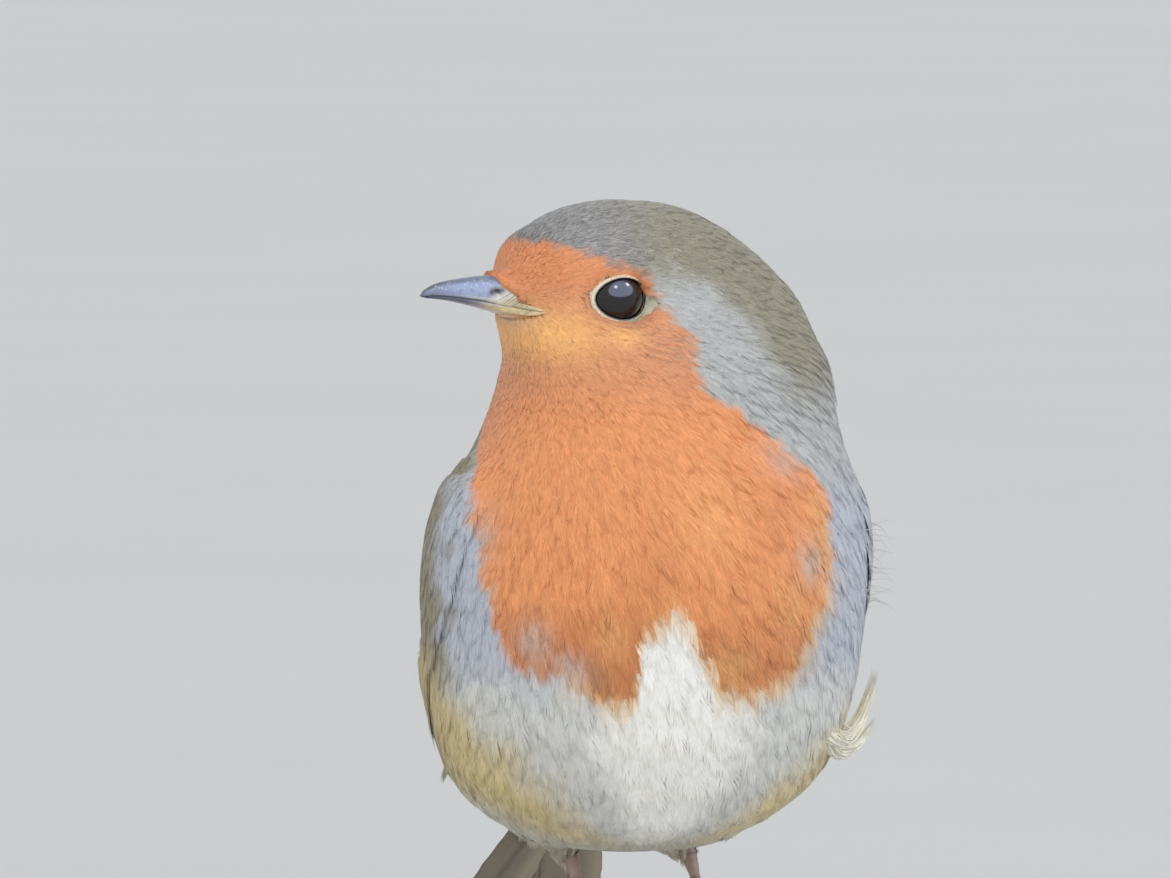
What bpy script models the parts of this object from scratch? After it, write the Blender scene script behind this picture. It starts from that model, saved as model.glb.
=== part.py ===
"""A European robin, life size, standing on the floor with its head turned to its right.

The bird faces -Y, its left side is +X and the floor is z = 0.  The body is one loft of egg-shaped
sections, from the tail's root up to the crown, parted into trunk, neck and head by two thin cuts.
Bill, eyes, wings, tail, legs, feet and claws are pieces of their own, set a hair's breadth apart.
All sizes are millimetres until MM turns them into metres.
"""

import math
from dataclasses import astuple, dataclass

import bmesh
import bpy
from mathutils import Matrix, Vector
from mathutils.bvhtree import BVHTree

MM = 0.001
GAP = 0.3  # clearance between neighbouring pieces
SLIVER = 0.03  # cut edges shorter than this are closed up
RING_SIDES = 32  # points round one body section
RING_STEPS = 2  # rings from one section to the next

# ---- driving dimensions -------------------------------------------------------------------------
HEAD_TURN = math.radians(-72.0)  # about +Z, away from the breast's direction
HEAD_AXIS = Vector((-7.6, -4.5, 88.7))  # midway between the eyes
EYE_RADIUS = 3.9
EYE_SIDE = 5.3  # eyeball centre, out from the midline
EYE_FORWARD = 0.3
EYE_UP = 0.2
BALL_SIDES = 16
BALL_RINGS = 10
ORBIT_RADIUS = 3.7  # the shallow dish round each eye
ORBIT_FLOOR = 7.9
ORBIT_DEPTH = 1.7
BILL_ROOT = 9.6  # along the bill, from the axis between the eyes
BILL_TIP = 22.0
TAIL_ROOT = Vector((0.0, 33.0, 35.2))
TAIL_LENGTH = 57.0
TAIL_DROOP = math.radians(30.0)  # below the horizontal
SHANK_RADIUS = 0.8
ANKLE = {"left": Vector((9.2, 17.5, 22.8)), "right": Vector((-4.8, 17.5, 22.8))}
SOLE = {"left": Vector((12.8, 8.6, 2.3)), "right": Vector((-1.2, 8.6, 2.3))}
HUB_RADIUS = 1.5  # of the ball where a foot's toes meet
TOE_RADIUS = 0.95
TOE_TAPER = 0.35  # of its radius, from root to end
TOE_SWELL = 0.12  # of its radius, between one pad and the next
TOE_HEIGHT = 0.85  # of its middle over the floor, as a share of its radius
TOE_ARCH = 4.0  # how steeply it comes down from the hub
TUBE_SIDES = 8
CLAW_LENGTH = 4.6
HALLUX_CLAW_LENGTH = 6.2
CLAW_ROOT_RADIUS = 0.55
CLAW_POINT_RADIUS = 0.12
CLAW_HEIGHT = 0.6  # of its middle at the toe
CLAW_BOW = 1.0  # how far it arches between toe and point
CLAW_RINGS = 7

SIDES = {"left": 1.0, "right": -1.0}


@dataclass(frozen=True)
class Section:
    """An egg-shaped ring: its centre, four half-breadths, and how its plane pitches and turns."""

    x: float
    y: float
    z: float
    pitch: float  # of the ring's back-to-front line; 90 degrees lies level
    turn: float  # of the four half-breadths about the ring's own centre
    left: float
    right: float
    back: float
    front: float
    back_power: float  # 2 is an ellipse, more is squarer, less is more pointed
    front_power: float

    def point(self, angle, grow=0.0):
        """The ring's point at a fixed world angle: 0 is the bird's left, a quarter turn its back."""
        across, along = math.cos(angle - self.turn), math.sin(angle - self.turn)
        wide = self.left if across > 0 else self.right
        deep = self.back if along > 0 else self.front
        power = self.back_power if along > 0 else self.front_power
        reach = (abs(across / wide) ** power + abs(along / deep) ** power) ** (-1 / power) + grow
        backward = Vector((0.0, math.sin(self.pitch), math.cos(self.pitch)))
        centre = Vector((self.x, self.y, self.z))
        return centre + reach * (math.cos(angle) * Vector((1, 0, 0)) + math.sin(angle) * backward)


def trunk_section(front, back, half_width, widest=0.5, lean=0.0, power=2.1):
    """A trunk ring from its lowest and its highest point in the side view, each as (y, z)."""
    run, rise = back[0] - front[0], back[1] - front[1]
    depth = math.hypot(run, rise)
    return Section(
        x=lean,
        y=front[0] + widest * run,
        z=front[1] + widest * rise,
        pitch=math.atan2(run, rise),
        turn=0.0,
        left=half_width,
        right=half_width,
        back=(1 - widest) * depth,
        front=widest * depth,
        back_power=2.0,
        front_power=power,
    )


def head_section(height, front, back, half_width, shift=0.0, turn=HEAD_TURN, front_power=2.0):
    """A level ring about the head's axis, reaching `front` and `back` along the bill's line."""
    forward = head_direction(1.0, 0.0)
    centre = HEAD_AXIS - shift * forward
    return Section(
        x=centre.x,
        y=centre.y,
        z=height,
        pitch=math.radians(90.0),
        turn=turn,
        left=half_width,
        right=half_width,
        back=back - shift,
        front=front + shift,
        back_power=2.0,
        front_power=front_power,
    )


def head_direction(forward, left, up=0.0):
    """A vector in the turned head's own directions."""
    return Matrix.Rotation(HEAD_TURN, 3, "Z") @ Vector((left, -forward, up))


def head_point(forward, left, up):
    """A place in the turned head, measured from midway between the eyes."""
    return HEAD_AXIS + head_direction(forward, left, up)


BODY = [
    trunk_section((48.5, 23.6), (50.6, 28.0), 5.6),
    trunk_section((37.5, 28.0), (42.0, 35.6), 7.8),
    trunk_section((29.0, 26.2), (37.0, 41.2), 12.6, 0.5, power=2.2),
    trunk_section((19.5, 24.7), (33.5, 46.8), 16.6, 0.46, power=2.2),
    trunk_section((7.0, 24.6), (30.5, 52.0), 20.6, 0.43, power=2.15),
    trunk_section((-7.5, 27.9), (28.0, 57.2), 23.4, 0.41, power=2.1),
    trunk_section((-18.5, 37.5), (25.8, 62.5), 24.8, 0.43),
    trunk_section((-25.0, 51.0), (22.6, 68.5), 24.2, 0.45, lean=0.4),
    trunk_section((-25.5, 63.0), (19.0, 74.5), 22.0, 0.48, lean=0.9),
    trunk_section((-22.8, 72.5), (15.3, 79.5), 19.6, 0.5, lean=1.4),
    trunk_section((-19.4, 79.6), (11.6, 83.6), 18.4, 0.5, lean=1.4),
    head_section(86.6, 11.8, 27.0, 11.4, shift=7.0, front_power=1.9),
    head_section(90.6, 12.3, 23.6, 9.8, shift=4.5, front_power=1.8),
    head_section(94.2, 10.6, 19.3, 8.6, shift=3.0),
    head_section(97.2, 7.1, 14.3, 6.6, shift=2.7),
    head_section(99.0, 2.8, 9.0, 4.0, shift=2.5),
    head_section(99.8, -2.0, 3.5, 0.8, shift=2.5),
]


def between(before, start, end, after, t):
    """A Catmull-Rom step from start to end."""
    return 0.5 * (
        2 * start
        + (end - before) * t
        + (2 * before - 5 * start + 4 * end - after) * t**2
        + (3 * (start - end) + after - before) * t**3
    )


def smooth_run(rows, steps):
    """Rows of values with `steps - 1` more rows between each two, all on one smooth run."""
    ends = [rows[0], *rows, rows[-1]]
    fine = []
    for i in range(1, len(ends) - 2):
        for step in range(steps):
            four = zip(ends[i - 1], ends[i], ends[i + 1], ends[i + 2])
            fine.append([between(*values, step / steps) for values in four])
    fine.append(rows[-1])
    return fine


# ---- mesh helpers -------------------------------------------------------------------------------
def loft(rings):
    """A closed mesh through rings of points, with a flat cap at each end."""
    mesh = bmesh.new()
    rows = [[mesh.verts.new(point * MM) for point in ring] for ring in rings]
    sides = len(rows[0])
    for low, high in zip(rows, rows[1:]):
        for i in range(sides):
            j = (i + 1) % sides
            mesh.faces.new((low[i], low[j], high[j], high[i]))
    mesh.faces.new(rows[0])
    mesh.faces.new(rows[-1])
    bmesh.ops.triangulate(mesh, faces=mesh.faces)
    bmesh.ops.recalc_face_normals(mesh, faces=mesh.faces)
    return mesh


def keep_side(mesh, point, normal):
    """Cut a closed mesh at a plane and keep what the normal points to, closed again."""
    plane = [*mesh.verts, *mesh.edges, *mesh.faces]
    cut = bmesh.ops.bisect_plane(
        mesh, geom=plane, plane_co=point * MM, plane_no=normal, clear_inner=True
    )
    rim = [item for item in cut["geom_cut"] if isinstance(item, bmesh.types.BMEdge)]
    bmesh.ops.holes_fill(mesh, edges=rim)
    bmesh.ops.triangulate(mesh, faces=mesh.faces)
    bmesh.ops.recalc_face_normals(mesh, faces=mesh.faces)


def add_piece(name, mesh, collection, material=None):
    """Make an object of a bmesh, in its collection, smooth where it is round."""
    data = bpy.data.meshes.new(name)
    mesh.to_mesh(data)
    mesh.free()
    data.shade_smooth()
    data.set_sharp_from_angle(angle=math.radians(40.0))
    piece = bpy.data.objects.new(name, data)
    collection.objects.link(piece)
    if material:
        data.materials.append(material)
    return piece


def boolean(piece, tool, operation="DIFFERENCE"):
    """Cut the tool out of the piece, or join the two."""
    modifier = piece.modifiers.new(tool.name, "BOOLEAN")
    modifier.operation = operation
    modifier.solver = "EXACT"
    modifier.object = tool


def weld(piece):
    """Close up the slivers that cuts leave, and make the piece all triangles again."""
    merge = piece.modifiers.new("weld", "WELD")
    merge.merge_threshold = SLIVER * MM
    piece.modifiers.new("triangles", "TRIANGULATE")


def cutter(name, mesh):
    """A guide solid, which is not part of the bird."""
    tool = add_piece(name, mesh, CUTTERS)
    tool.hide_render = True
    tool.display_type = "WIRE"
    return tool


def finish(name, colour, roughness):
    """A piece's own Principled material."""
    material = bpy.data.materials.new(name)
    material.use_nodes = True
    shader = material.node_tree.nodes["Principled BSDF"]
    shader.inputs["Base Color"].default_value = (*colour, 1.0)
    shader.inputs["Roughness"].default_value = roughness
    shader.inputs["Metallic"].default_value = 0.0
    return material


def new_collection(name):
    """A collection in the scene."""
    made = bpy.data.collections.new(name)
    bpy.context.scene.collection.children.link(made)
    return made


def clear_scene():
    """Remove whatever the scene starts with."""
    for thing in list(bpy.data.objects):
        bpy.data.objects.remove(thing, do_unlink=True)


# ---- head, neck and trunk -----------------------------------------------------------------------
def body_mesh(grow=0.0):
    """The whole body as one closed mesh, optionally grown for use as a cutter."""
    angles = [math.tau * i / RING_SIDES for i in range(RING_SIDES)]
    named = [[section.point(angle, grow) for angle in angles] for section in BODY]
    rings = smooth_run(named, RING_STEPS)
    if grow:
        rings[0] = [point + Vector((0, grow, -grow)) for point in rings[0]]
        rings[-1] = [point + Vector((0, 0, grow)) for point in rings[-1]]
    return loft(rings)


def make_body():
    """Trunk, neck and head, parted by two planes."""
    throat = head_point(9.0, 0.0, -9.0)
    nape = head_point(-17.0, 0.0, 3.5)
    slope = nape - throat
    head_up = head_direction(0.0, 1.0).cross(slope).normalized()
    head_up = head_up if head_up.z > 0 else -head_up
    collar = Vector((0.0, -1.0, 76.5))
    collar_up = Vector((0.0, -0.12, 1.0)).normalized()
    half_gap = 0.5 * GAP

    trunk = body_mesh()
    keep_side(trunk, collar - half_gap * collar_up, -collar_up)
    neck = body_mesh()
    keep_side(neck, collar + half_gap * collar_up, collar_up)
    keep_side(neck, throat - half_gap * head_up, -head_up)
    head = body_mesh()
    keep_side(head, throat + half_gap * head_up, head_up)

    add_piece("trunk", trunk, BIRD, finish("breast_plumage", (0.74, 0.32, 0.13), 0.85))
    add_piece("neck", neck, BIRD, finish("neck_plumage", (0.40, 0.43, 0.45), 0.85))
    return add_piece("head", head, BIRD, finish("head_plumage", (0.33, 0.31, 0.27), 0.85))


# ---- bill and eyes ------------------------------------------------------------------------------
@dataclass(frozen=True)
class BillStation:
    """One cut across the bill, measured in the head's own directions."""

    forward: float
    culmen: float
    tomium: float
    lower_edge: float
    half_width: float


BILL = [
    BillStation(BILL_ROOT, 2.50, -1.10, -2.00, 2.90),
    BillStation(12.0, 2.70, -0.60, -1.46, 2.35),
    BillStation(14.0, 2.62, -0.20, -0.90, 1.90),
    BillStation(16.0, 2.52, 0.20, -0.35, 1.50),
    BillStation(18.0, 2.34, 0.50, 0.05, 1.15),
    BillStation(20.0, 1.98, 0.68, 0.32, 0.78),
    BillStation(21.4, 1.20, 0.66, 0.44, 0.42),
    BillStation(BILL_TIP, 0.82, 0.50, 0.46, 0.16),
]
BILL_SIDES = 12
LOWER_SHORTFALL = 0.7  # the lower half stops short of the upper's tip


def bill_ring(station, upper, grow=0.0):
    """A half-oval ring: domed over or under a nearly flat side along the cutting edges."""
    ring = []
    edge = station.tomium + (0.5 if upper else -0.5) * GAP
    rim = station.culmen if upper else station.lower_edge
    for i in range(BILL_SIDES):
        angle = math.tau * i / BILL_SIDES
        side, rise = math.cos(angle), math.sin(angle)
        depth = abs(rim - edge) if rise > 0 else 0.0
        away = depth * rise if rise > 0 else 0.0
        up = edge + (away if upper else -away) + (grow * (rise if upper else -rise))
        ring.append(head_point(station.forward, side * (station.half_width + grow), up))
    return ring


def bill_mesh(upper, grow=0.0):
    """Half of the bill."""
    stations = BILL if upper else BILL[:-1]
    rings = [bill_ring(station, upper, grow) for station in stations]
    if grow:
        rings[0] = [point - head_direction(grow, 0.0) for point in rings[0]]
    return loft(rings)


def make_bill(head):
    """Both halves of the bill, seated in the head."""
    horn = finish("bill_horn", (0.17, 0.19, 0.23), 0.35)
    add_piece("bill_upper", bill_mesh(True), BIRD, horn)
    pale_horn = finish("bill_pale_horn", (0.30, 0.31, 0.31), 0.35)
    add_piece("bill_lower", bill_mesh(False), BIRD, pale_horn)
    for upper in (True, False):
        boolean(head, cutter(f"bill_socket_{'upper' if upper else 'lower'}", bill_mesh(upper, GAP)))


def ball(place, radius, flatten=1.0):
    """A sphere in the turned head, squashed along the line from eye to eye if asked."""
    mesh = bmesh.new()
    poles_sideways = Matrix.Rotation(HEAD_TURN, 4, "Z") @ Matrix.Rotation(math.radians(90), 4, "Y")
    squash = Matrix.Diagonal(Vector((1.0, 1.0, flatten, 1.0)))
    bmesh.ops.create_uvsphere(
        mesh,
        u_segments=BALL_SIDES,
        v_segments=BALL_RINGS,
        radius=radius * MM,
        matrix=Matrix.Translation(place * MM) @ poles_sideways @ squash,
    )
    return mesh


def make_eyes(head):
    """Two eyeballs in their sockets, each behind a shallow dish in the face."""
    for side, sign in SIDES.items():
        place = head_point(EYE_FORWARD, sign * EYE_SIDE, EYE_UP)
        dark = finish(f"eye_{side}_gloss", (0.01, 0.008, 0.007), 0.06)
        add_piece(f"eye_{side}", ball(place, EYE_RADIUS), BIRD, dark)
        dish = head_point(EYE_FORWARD, sign * (ORBIT_FLOOR + ORBIT_DEPTH), EYE_UP)
        orbit = ball(dish, ORBIT_RADIUS, ORBIT_DEPTH / ORBIT_RADIUS)
        boolean(head, cutter(f"orbit_{side}", orbit))
        boolean(head, cutter(f"eye_socket_{side}", ball(place, EYE_RADIUS + GAP)))
    weld(head)


# ---- wings and tail -----------------------------------------------------------------------------
@dataclass(frozen=True)
class WingStation:
    """One cut across the folded left wing: its middle line, breadth and lie."""

    x: float  # of the outer face where the body does not push it further out
    y: float
    z: float
    half_width: float
    thickness: float
    camber: float  # how far the edges wrap inwards
    lean: float  # degrees that the outer face looks upwards
    swing: float  # degrees that the outer face looks backwards


WING = [
    WingStation(16.0, -7.5, 67.0, 2.5, 2.0, 1.0, 8.0, -22.0),
    WingStation(17.0, -3.5, 63.6, 7.0, 3.0, 3.0, 8.0, -12.0),
    WingStation(18.5, 3.5, 58.0, 10.0, 3.6, 5.0, 8.0, -2.0),
    WingStation(19.5, 11.0, 53.0, 12.0, 3.6, 5.0, 10.0, 12.0),
    WingStation(18.5, 19.5, 47.2, 11.0, 3.2, 3.6, 14.0, 26.0),
    WingStation(15.5, 28.0, 41.2, 8.4, 2.6, 2.2, 22.0, 38.0),
    WingStation(12.0, 36.0, 36.4, 5.0, 1.7, 0.8, 32.0, 44.0),
    WingStation(8.6, 42.5, 32.6, 1.5, 1.1, 0.2, 34.0, 46.0),
]
WING_SIDES = 16
WING_PROUD = 1.2  # the middle of the folded wing over the flank's plumage
WING_CAST = 60.0  # where a line towards the body starts


def wing_mesh(side, flank):
    """A folded wing: a blank with thin edges, bowed over the flank."""
    mirror = Matrix.Diagonal(Vector((SIDES[side], 1.0, 1.0)))
    stations = [WingStation(*row) for row in smooth_run([astuple(s) for s in WING], RING_STEPS)]
    middles = [Vector((s.x, s.y, s.z)) for s in stations]
    rings = []
    for i, station in enumerate(stations):
        ahead, behind = middles[min(i + 1, len(middles) - 1)], middles[max(i - 1, 0)]
        axis = (ahead - behind).normalized()
        lean, swing = math.radians(station.lean), math.radians(station.swing)
        out = Vector(
            (math.cos(swing) * math.cos(lean), math.sin(swing) * math.cos(lean), math.sin(lean))
        )
        out = (out - out.dot(axis) * axis).normalized()
        across = axis.cross(out)
        ring = []
        for k in range(WING_SIDES):
            angle = math.tau * k / WING_SIDES
            u, v = math.cos(angle), math.sin(angle)
            foot = middles[i] + station.half_width * u * across
            start = foot + WING_CAST * out
            hit = flank.ray_cast(start * MM, -out)[0]
            own = -station.camber * u * u
            proud = WING_PROUD * (1.0 - abs(u) ** 3)
            height = own if hit is None else max(own, (hit / MM - foot).dot(out) + proud)
            height += station.thickness * min(v, 0.0)
            ring.append(mirror @ (foot + height * out))
        rings.append(ring)
    return loft(rings)


def make_wings(body_cutter, tail_cutter):
    """Both folded wings, hollowed to lie on the flanks."""
    body = body_mesh()
    flank = BVHTree.FromBMesh(body)
    body.free()
    for side in SIDES:
        olive = finish(f"wing_{side}_plumage", (0.17, 0.15, 0.10), 0.8)
        wing = add_piece(f"wing_{side}", wing_mesh(side, flank), BIRD, olive)
        boolean(wing, body_cutter)
        boolean(wing, tail_cutter)


@dataclass(frozen=True)
class TailStation:
    """One cut across the tail."""

    along: float
    half_width: float
    thickness: float
    arch: float  # how much lower the edges lie than the middle


TAIL = [
    TailStation(0.0, 4.8, 4.2, 0.6),
    TailStation(10.0, 6.0, 3.4, 0.9),
    TailStation(22.0, 7.4, 2.6, 1.2),
    TailStation(36.0, 8.8, 1.9, 1.2),
    TailStation(48.0, 10.0, 1.4, 1.0),
    TailStation(TAIL_LENGTH - 3.0, 10.6, 1.1, 0.9),
    TailStation(TAIL_LENGTH, 10.2, 0.8, 0.9),
]
TAIL_SIDES = 18
TAIL_NOTCH = 2.4


def tail_mesh(grow=0.0):
    """The closed tail: a thin arched blade with a slightly forked end."""
    along = Vector((0.0, math.cos(TAIL_DROOP), -math.sin(TAIL_DROOP)))
    up = Vector((0.0, math.sin(TAIL_DROOP), math.cos(TAIL_DROOP)))
    rings = []
    for station in TAIL:
        ring = []
        fork = TAIL_NOTCH * (station.along / TAIL_LENGTH) ** 6
        for k in range(TAIL_SIDES):
            angle = math.tau * k / TAIL_SIDES
            u, v = math.cos(angle), math.sin(angle)
            reach = station.along - fork * (1 - abs(u))
            height = (0.5 * station.thickness + grow) * v - station.arch * u * u
            side = (station.half_width + grow) * u
            ring.append(TAIL_ROOT + reach * along + height * up + Vector((side, 0, 0)))
        rings.append(ring)
    return loft(rings)


def make_tail(body_cutter):
    """The tail, which comes out from under the rump."""
    tail = add_piece("tail", tail_mesh(), BIRD, finish("tail_plumage", (0.15, 0.12, 0.09), 0.8))
    boolean(tail, body_cutter)


# ---- legs and feet ------------------------------------------------------------------------------
THIGH_SIDES = 12
THIGH_SEAT = (0.4, 1.0, 1.7)  # radii of the rings that follow the belly
THIGH_TAPER = ((1.4, 1.3), (0.5, 1.0))  # above the ankle, and the radius there
THIGH_GAP = 0.4
THIGH_SLANT = Vector((-2.0, 0.0, 0.0))  # of its seat from over the ankle


def tube(points, radii, sides=TUBE_SIDES, floor=None):
    """A tapered tube along points, pressed flat where it would go below the floor."""
    rings = []
    for i, (middle, radius) in enumerate(zip(points, radii)):
        axis = (points[min(i + 1, len(points) - 1)] - points[max(i - 1, 0)]).normalized()
        side = axis.cross(Vector((0, 0, 1))).normalized()
        if side.length < 0.5:
            side = Vector((1, 0, 0))
        top = side.cross(axis)
        ring = []
        for k in range(sides):
            angle = math.tau * (k + 0.5) / sides
            point = middle + radius * (math.cos(angle) * side + math.sin(angle) * top)
            if floor is not None:
                point.z = max(point.z, floor)
            ring.append(point)
        rings.append(ring)
    return loft(rings)


def thigh_mesh(side, belly):
    """A feathered stub: its top follows the belly, and it narrows to the ankle."""
    ankle = ANKLE[side]
    down = (SOLE[side] - ankle).normalized()
    circle = [math.tau * k / THIGH_SIDES for k in range(THIGH_SIDES)]
    around = [Vector((math.cos(angle), math.sin(angle), 0.0)) for angle in circle]
    rings = []
    for radius in THIGH_SEAT:
        ring = []
        for outwards in around:
            start = ankle + THIGH_SLANT + radius * outwards
            hit, normal, _, _ = belly.ray_cast(start * MM, Vector((0, 0, 1)))
            ring.append(hit / MM + THIGH_GAP * normal)
        rings.append(ring)
    for above, radius in THIGH_TAPER:
        middle = ankle - above * down + 0.2 * above * THIGH_SLANT
        rings.append([middle + radius * outwards for outwards in around])
    return loft(rings)


def make_thighs():
    """The feathered ends of the shanks' upper bones, showing below the belly."""
    body = body_mesh()
    belly = BVHTree.FromBMesh(body)
    body.free()
    for side in SIDES:
        buff = finish(f"thigh_{side}_plumage", (0.36, 0.33, 0.24), 0.85)
        add_piece(f"thigh_{side}", thigh_mesh(side, belly), BIRD, buff)


SHANK_SIDES = 10
SHANK_SWELL = (  # shares of the way from ankle to sole, and of the radius there
    (0.0, 0.06, 0.16, 0.5, 0.84, 0.94, 1.0),
    (1.25, 1.35, 1.05, 0.92, 1.0, 1.2, 1.1),
)
SHANK_END = 0.9  # left for the hub beyond a toe's radius


def make_shanks():
    """The bare scaly shanks, thicker at both joints."""
    for side in SIDES:
        ankle, sole = ANKLE[side], SOLE[side]
        down = (sole - ankle).normalized()
        start, end = ankle + GAP * down, sole - (TOE_RADIUS + SHANK_END) * down
        points = [start.lerp(end, t) for t in SHANK_SWELL[0]]
        radii = [SHANK_RADIUS * factor for factor in SHANK_SWELL[1]]
        horn = finish(f"shank_{side}_skin", (0.21, 0.17, 0.14), 0.45)
        add_piece(f"shank_{side}", tube(points, radii, SHANK_SIDES), BIRD, horn)


@dataclass(frozen=True)
class Toe:
    """A toe by its bearing from straight ahead, its length and how many pads it walks on."""

    bearing: float
    length: float
    pads: int


TOES = {
    "inner": Toe(24.0, 10.5, 2),
    "middle": Toe(-2.0, 14.5, 3),
    "outer": Toe(-27.0, 11.5, 3),
    "hind": Toe(176.0, 9.0, 1),
}
FOOT_TURN_OUT = 8.0  # degrees that each whole foot points outwards


def toe_direction(side, toe):
    """The level direction of a toe."""
    angle = math.radians(SIDES[side] * (FOOT_TURN_OUT - toe.bearing))
    return Matrix.Rotation(angle, 3, "Z") @ Vector((0, -1, 0))


def toe_mesh(side, toe):
    """A toe: arched at its root, swelling at its pads, flat underneath."""
    direction = toe_direction(side, toe)
    hub = SOLE[side]
    points, radii = [], []
    count = 3 * toe.pads + 2
    for i in range(count + 1):
        t = i / count
        swell = TOE_SWELL * math.cos(math.tau * toe.pads * t)
        radius = TOE_RADIUS * (1.0 - TOE_TAPER * t) * (1.0 - swell)
        height = max(TOE_HEIGHT * radius, hub.z * (1 - TOE_ARCH * t))
        points.append(Vector((hub.x, hub.y, height)) + toe.length * t * direction)
        radii.append(radius)
    return tube(points, radii, floor=0.0)


def make_feet():
    """Each foot: a hub and four toes joined to one solid."""
    for side in SIDES:
        skin = finish(f"foot_{side}_skin", (0.20, 0.16, 0.13), 0.5)
        hub = bmesh.new()
        place = Matrix.Translation(SOLE[side] * MM)
        bmesh.ops.create_uvsphere(
            hub, u_segments=BALL_SIDES, v_segments=BALL_RINGS, radius=HUB_RADIUS * MM, matrix=place
        )
        foot = add_piece(f"foot_{side}", hub, BIRD, skin)
        for name, toe in TOES.items():
            boolean(foot, cutter(f"toe_{side}_{name}", toe_mesh(side, toe)), "UNION")


def claw_mesh(root, direction, length):
    """A claw that rises from the toe's end and curves down to its point on the floor."""
    points, radii = [], []
    for i in range(CLAW_RINGS):
        t = i / (CLAW_RINGS - 1)
        radius = CLAW_POINT_RADIUS + CLAW_ROOT_RADIUS * (1 - t) ** 0.7
        bow = CLAW_BOW * math.sin(math.pi * t**0.8)
        height = CLAW_HEIGHT * (1 - t) + radius * t + bow
        points.append(root + length * t * direction + Vector((0, 0, height)))
        radii.append(radius)
    return tube(points, radii, floor=0.0)


def make_claws():
    """A curved claw ahead of each toe."""
    for side in SIDES:
        for name, toe in TOES.items():
            direction = toe_direction(side, toe)
            length = HALLUX_CLAW_LENGTH if name == "hind" else CLAW_LENGTH
            root = Vector((SOLE[side].x, SOLE[side].y, 0.0)) + (toe.length + GAP) * direction
            horn = finish(f"claw_{side}_{name}_horn", (0.10, 0.08, 0.07), 0.4)
            add_piece(f"claw_{side}_{name}", claw_mesh(root, direction, length), BIRD, horn)


# ---- assembly -----------------------------------------------------------------------------------
def centre_over_origin():
    """Hang every piece on one empty, moved so that the origin is below the bird's middle."""
    bpy.context.view_layer.update()
    corners = [
        piece.matrix_world @ Vector(corner)
        for piece in BIRD.objects
        for corner in piece.evaluated_get(bpy.context.evaluated_depsgraph_get()).bound_box
    ]
    middle = [0.5 * (min(c[i] for c in corners) + max(c[i] for c in corners)) for i in range(2)]
    stand = bpy.data.objects.new("standing_point", None)
    BIRD.objects.link(stand)
    for thing in [*BIRD.objects, *CUTTERS.objects]:
        if thing is not stand:
            thing.parent = stand
    stand.location = (-middle[0], -middle[1], 0.0)


def main():
    """Build the whole bird."""
    body_cutter = cutter("body_clearance", body_mesh(GAP))
    tail_cutter = cutter("tail_clearance", tail_mesh(GAP))
    head = make_body()
    make_bill(head)
    make_eyes(head)
    make_tail(body_cutter)
    make_wings(body_cutter, tail_cutter)
    make_thighs()
    make_shanks()
    make_feet()
    make_claws()
    centre_over_origin()


clear_scene()
BIRD = new_collection("european_robin")
CUTTERS = new_collection("guides")
main()
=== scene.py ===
"""The looks of a life-size European robin: skin, plumage, eyes, bill, legs and claws.

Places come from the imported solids.  Shapes are worked out in the bird's own millimetres, in which it
faces -Y, has its left side at +X and stands on z = 0; Anatomy turns them into the model's metres.
"""

import logging
import math
from dataclasses import dataclass, field
from enum import Enum
from typing import Any, Callable, Dict, Iterable, List, Optional, Sequence, Tuple, Union

import bpy
import numpy as np
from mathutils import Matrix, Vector
from mathutils.bvhtree import BVHTree

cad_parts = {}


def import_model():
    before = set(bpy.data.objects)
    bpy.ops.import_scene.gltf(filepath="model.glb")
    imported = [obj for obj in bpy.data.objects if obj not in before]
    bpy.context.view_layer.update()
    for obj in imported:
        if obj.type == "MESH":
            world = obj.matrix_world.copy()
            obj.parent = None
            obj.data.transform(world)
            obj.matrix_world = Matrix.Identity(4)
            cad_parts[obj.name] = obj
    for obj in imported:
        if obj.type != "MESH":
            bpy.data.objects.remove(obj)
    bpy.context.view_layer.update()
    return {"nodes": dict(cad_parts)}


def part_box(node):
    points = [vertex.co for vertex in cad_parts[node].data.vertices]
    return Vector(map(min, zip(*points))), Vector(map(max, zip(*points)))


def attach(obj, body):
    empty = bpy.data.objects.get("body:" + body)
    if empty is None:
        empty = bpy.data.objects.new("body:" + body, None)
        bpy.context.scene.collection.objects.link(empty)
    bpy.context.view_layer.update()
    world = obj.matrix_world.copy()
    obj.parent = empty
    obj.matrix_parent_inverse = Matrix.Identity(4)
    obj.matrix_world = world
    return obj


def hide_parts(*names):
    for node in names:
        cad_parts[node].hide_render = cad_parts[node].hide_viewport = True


LOG = logging.getLogger("robin")
Array = np.ndarray
MM = 0.001
SIDES = {"left": 1.0, "right": -1.0}
PATH_STEPS = 4  # stretches in the line that a feather follows over the skin
OUTSIDE = 30.0  # millimetres from the head's middle, clear of its sides
CHEEK = 4.0  # millimetres from the head's middle, past which a place is on one of its sides


# ---- small sums ---------------------------------------------------------------------------------
def smooth(value: Any, low: float, high: float) -> Array:
    """Run smoothly from 0 at low to 1 at high."""
    t = np.clip((np.asarray(value, float) - low) / (high - low), 0.0, 1.0)
    return t * t * (3.0 - 2.0 * t)


def blend(first: Array, second: Array, share: Any) -> Array:
    """Mix rows of one array with rows of another.

    Args:
        first: rows, or one row for all.
        second: rows, or one row for all.
        share: how much of second each row gets.

    Returns:
        The mixed rows.
    """
    share = np.asarray(share, float)[..., None]
    return first * (1.0 - share) + second * share


def unit(rows: Array) -> Array:
    """Scale rows to length one."""
    return rows / np.maximum(np.linalg.norm(rows, axis=-1, keepdims=True), 1e-9)


def square_to(rows: Array, way: Array) -> Array:
    """Turn directions square to others, with length one."""
    return unit(rows - (rows * way).sum(axis=-1, keepdims=True) * way)


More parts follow.
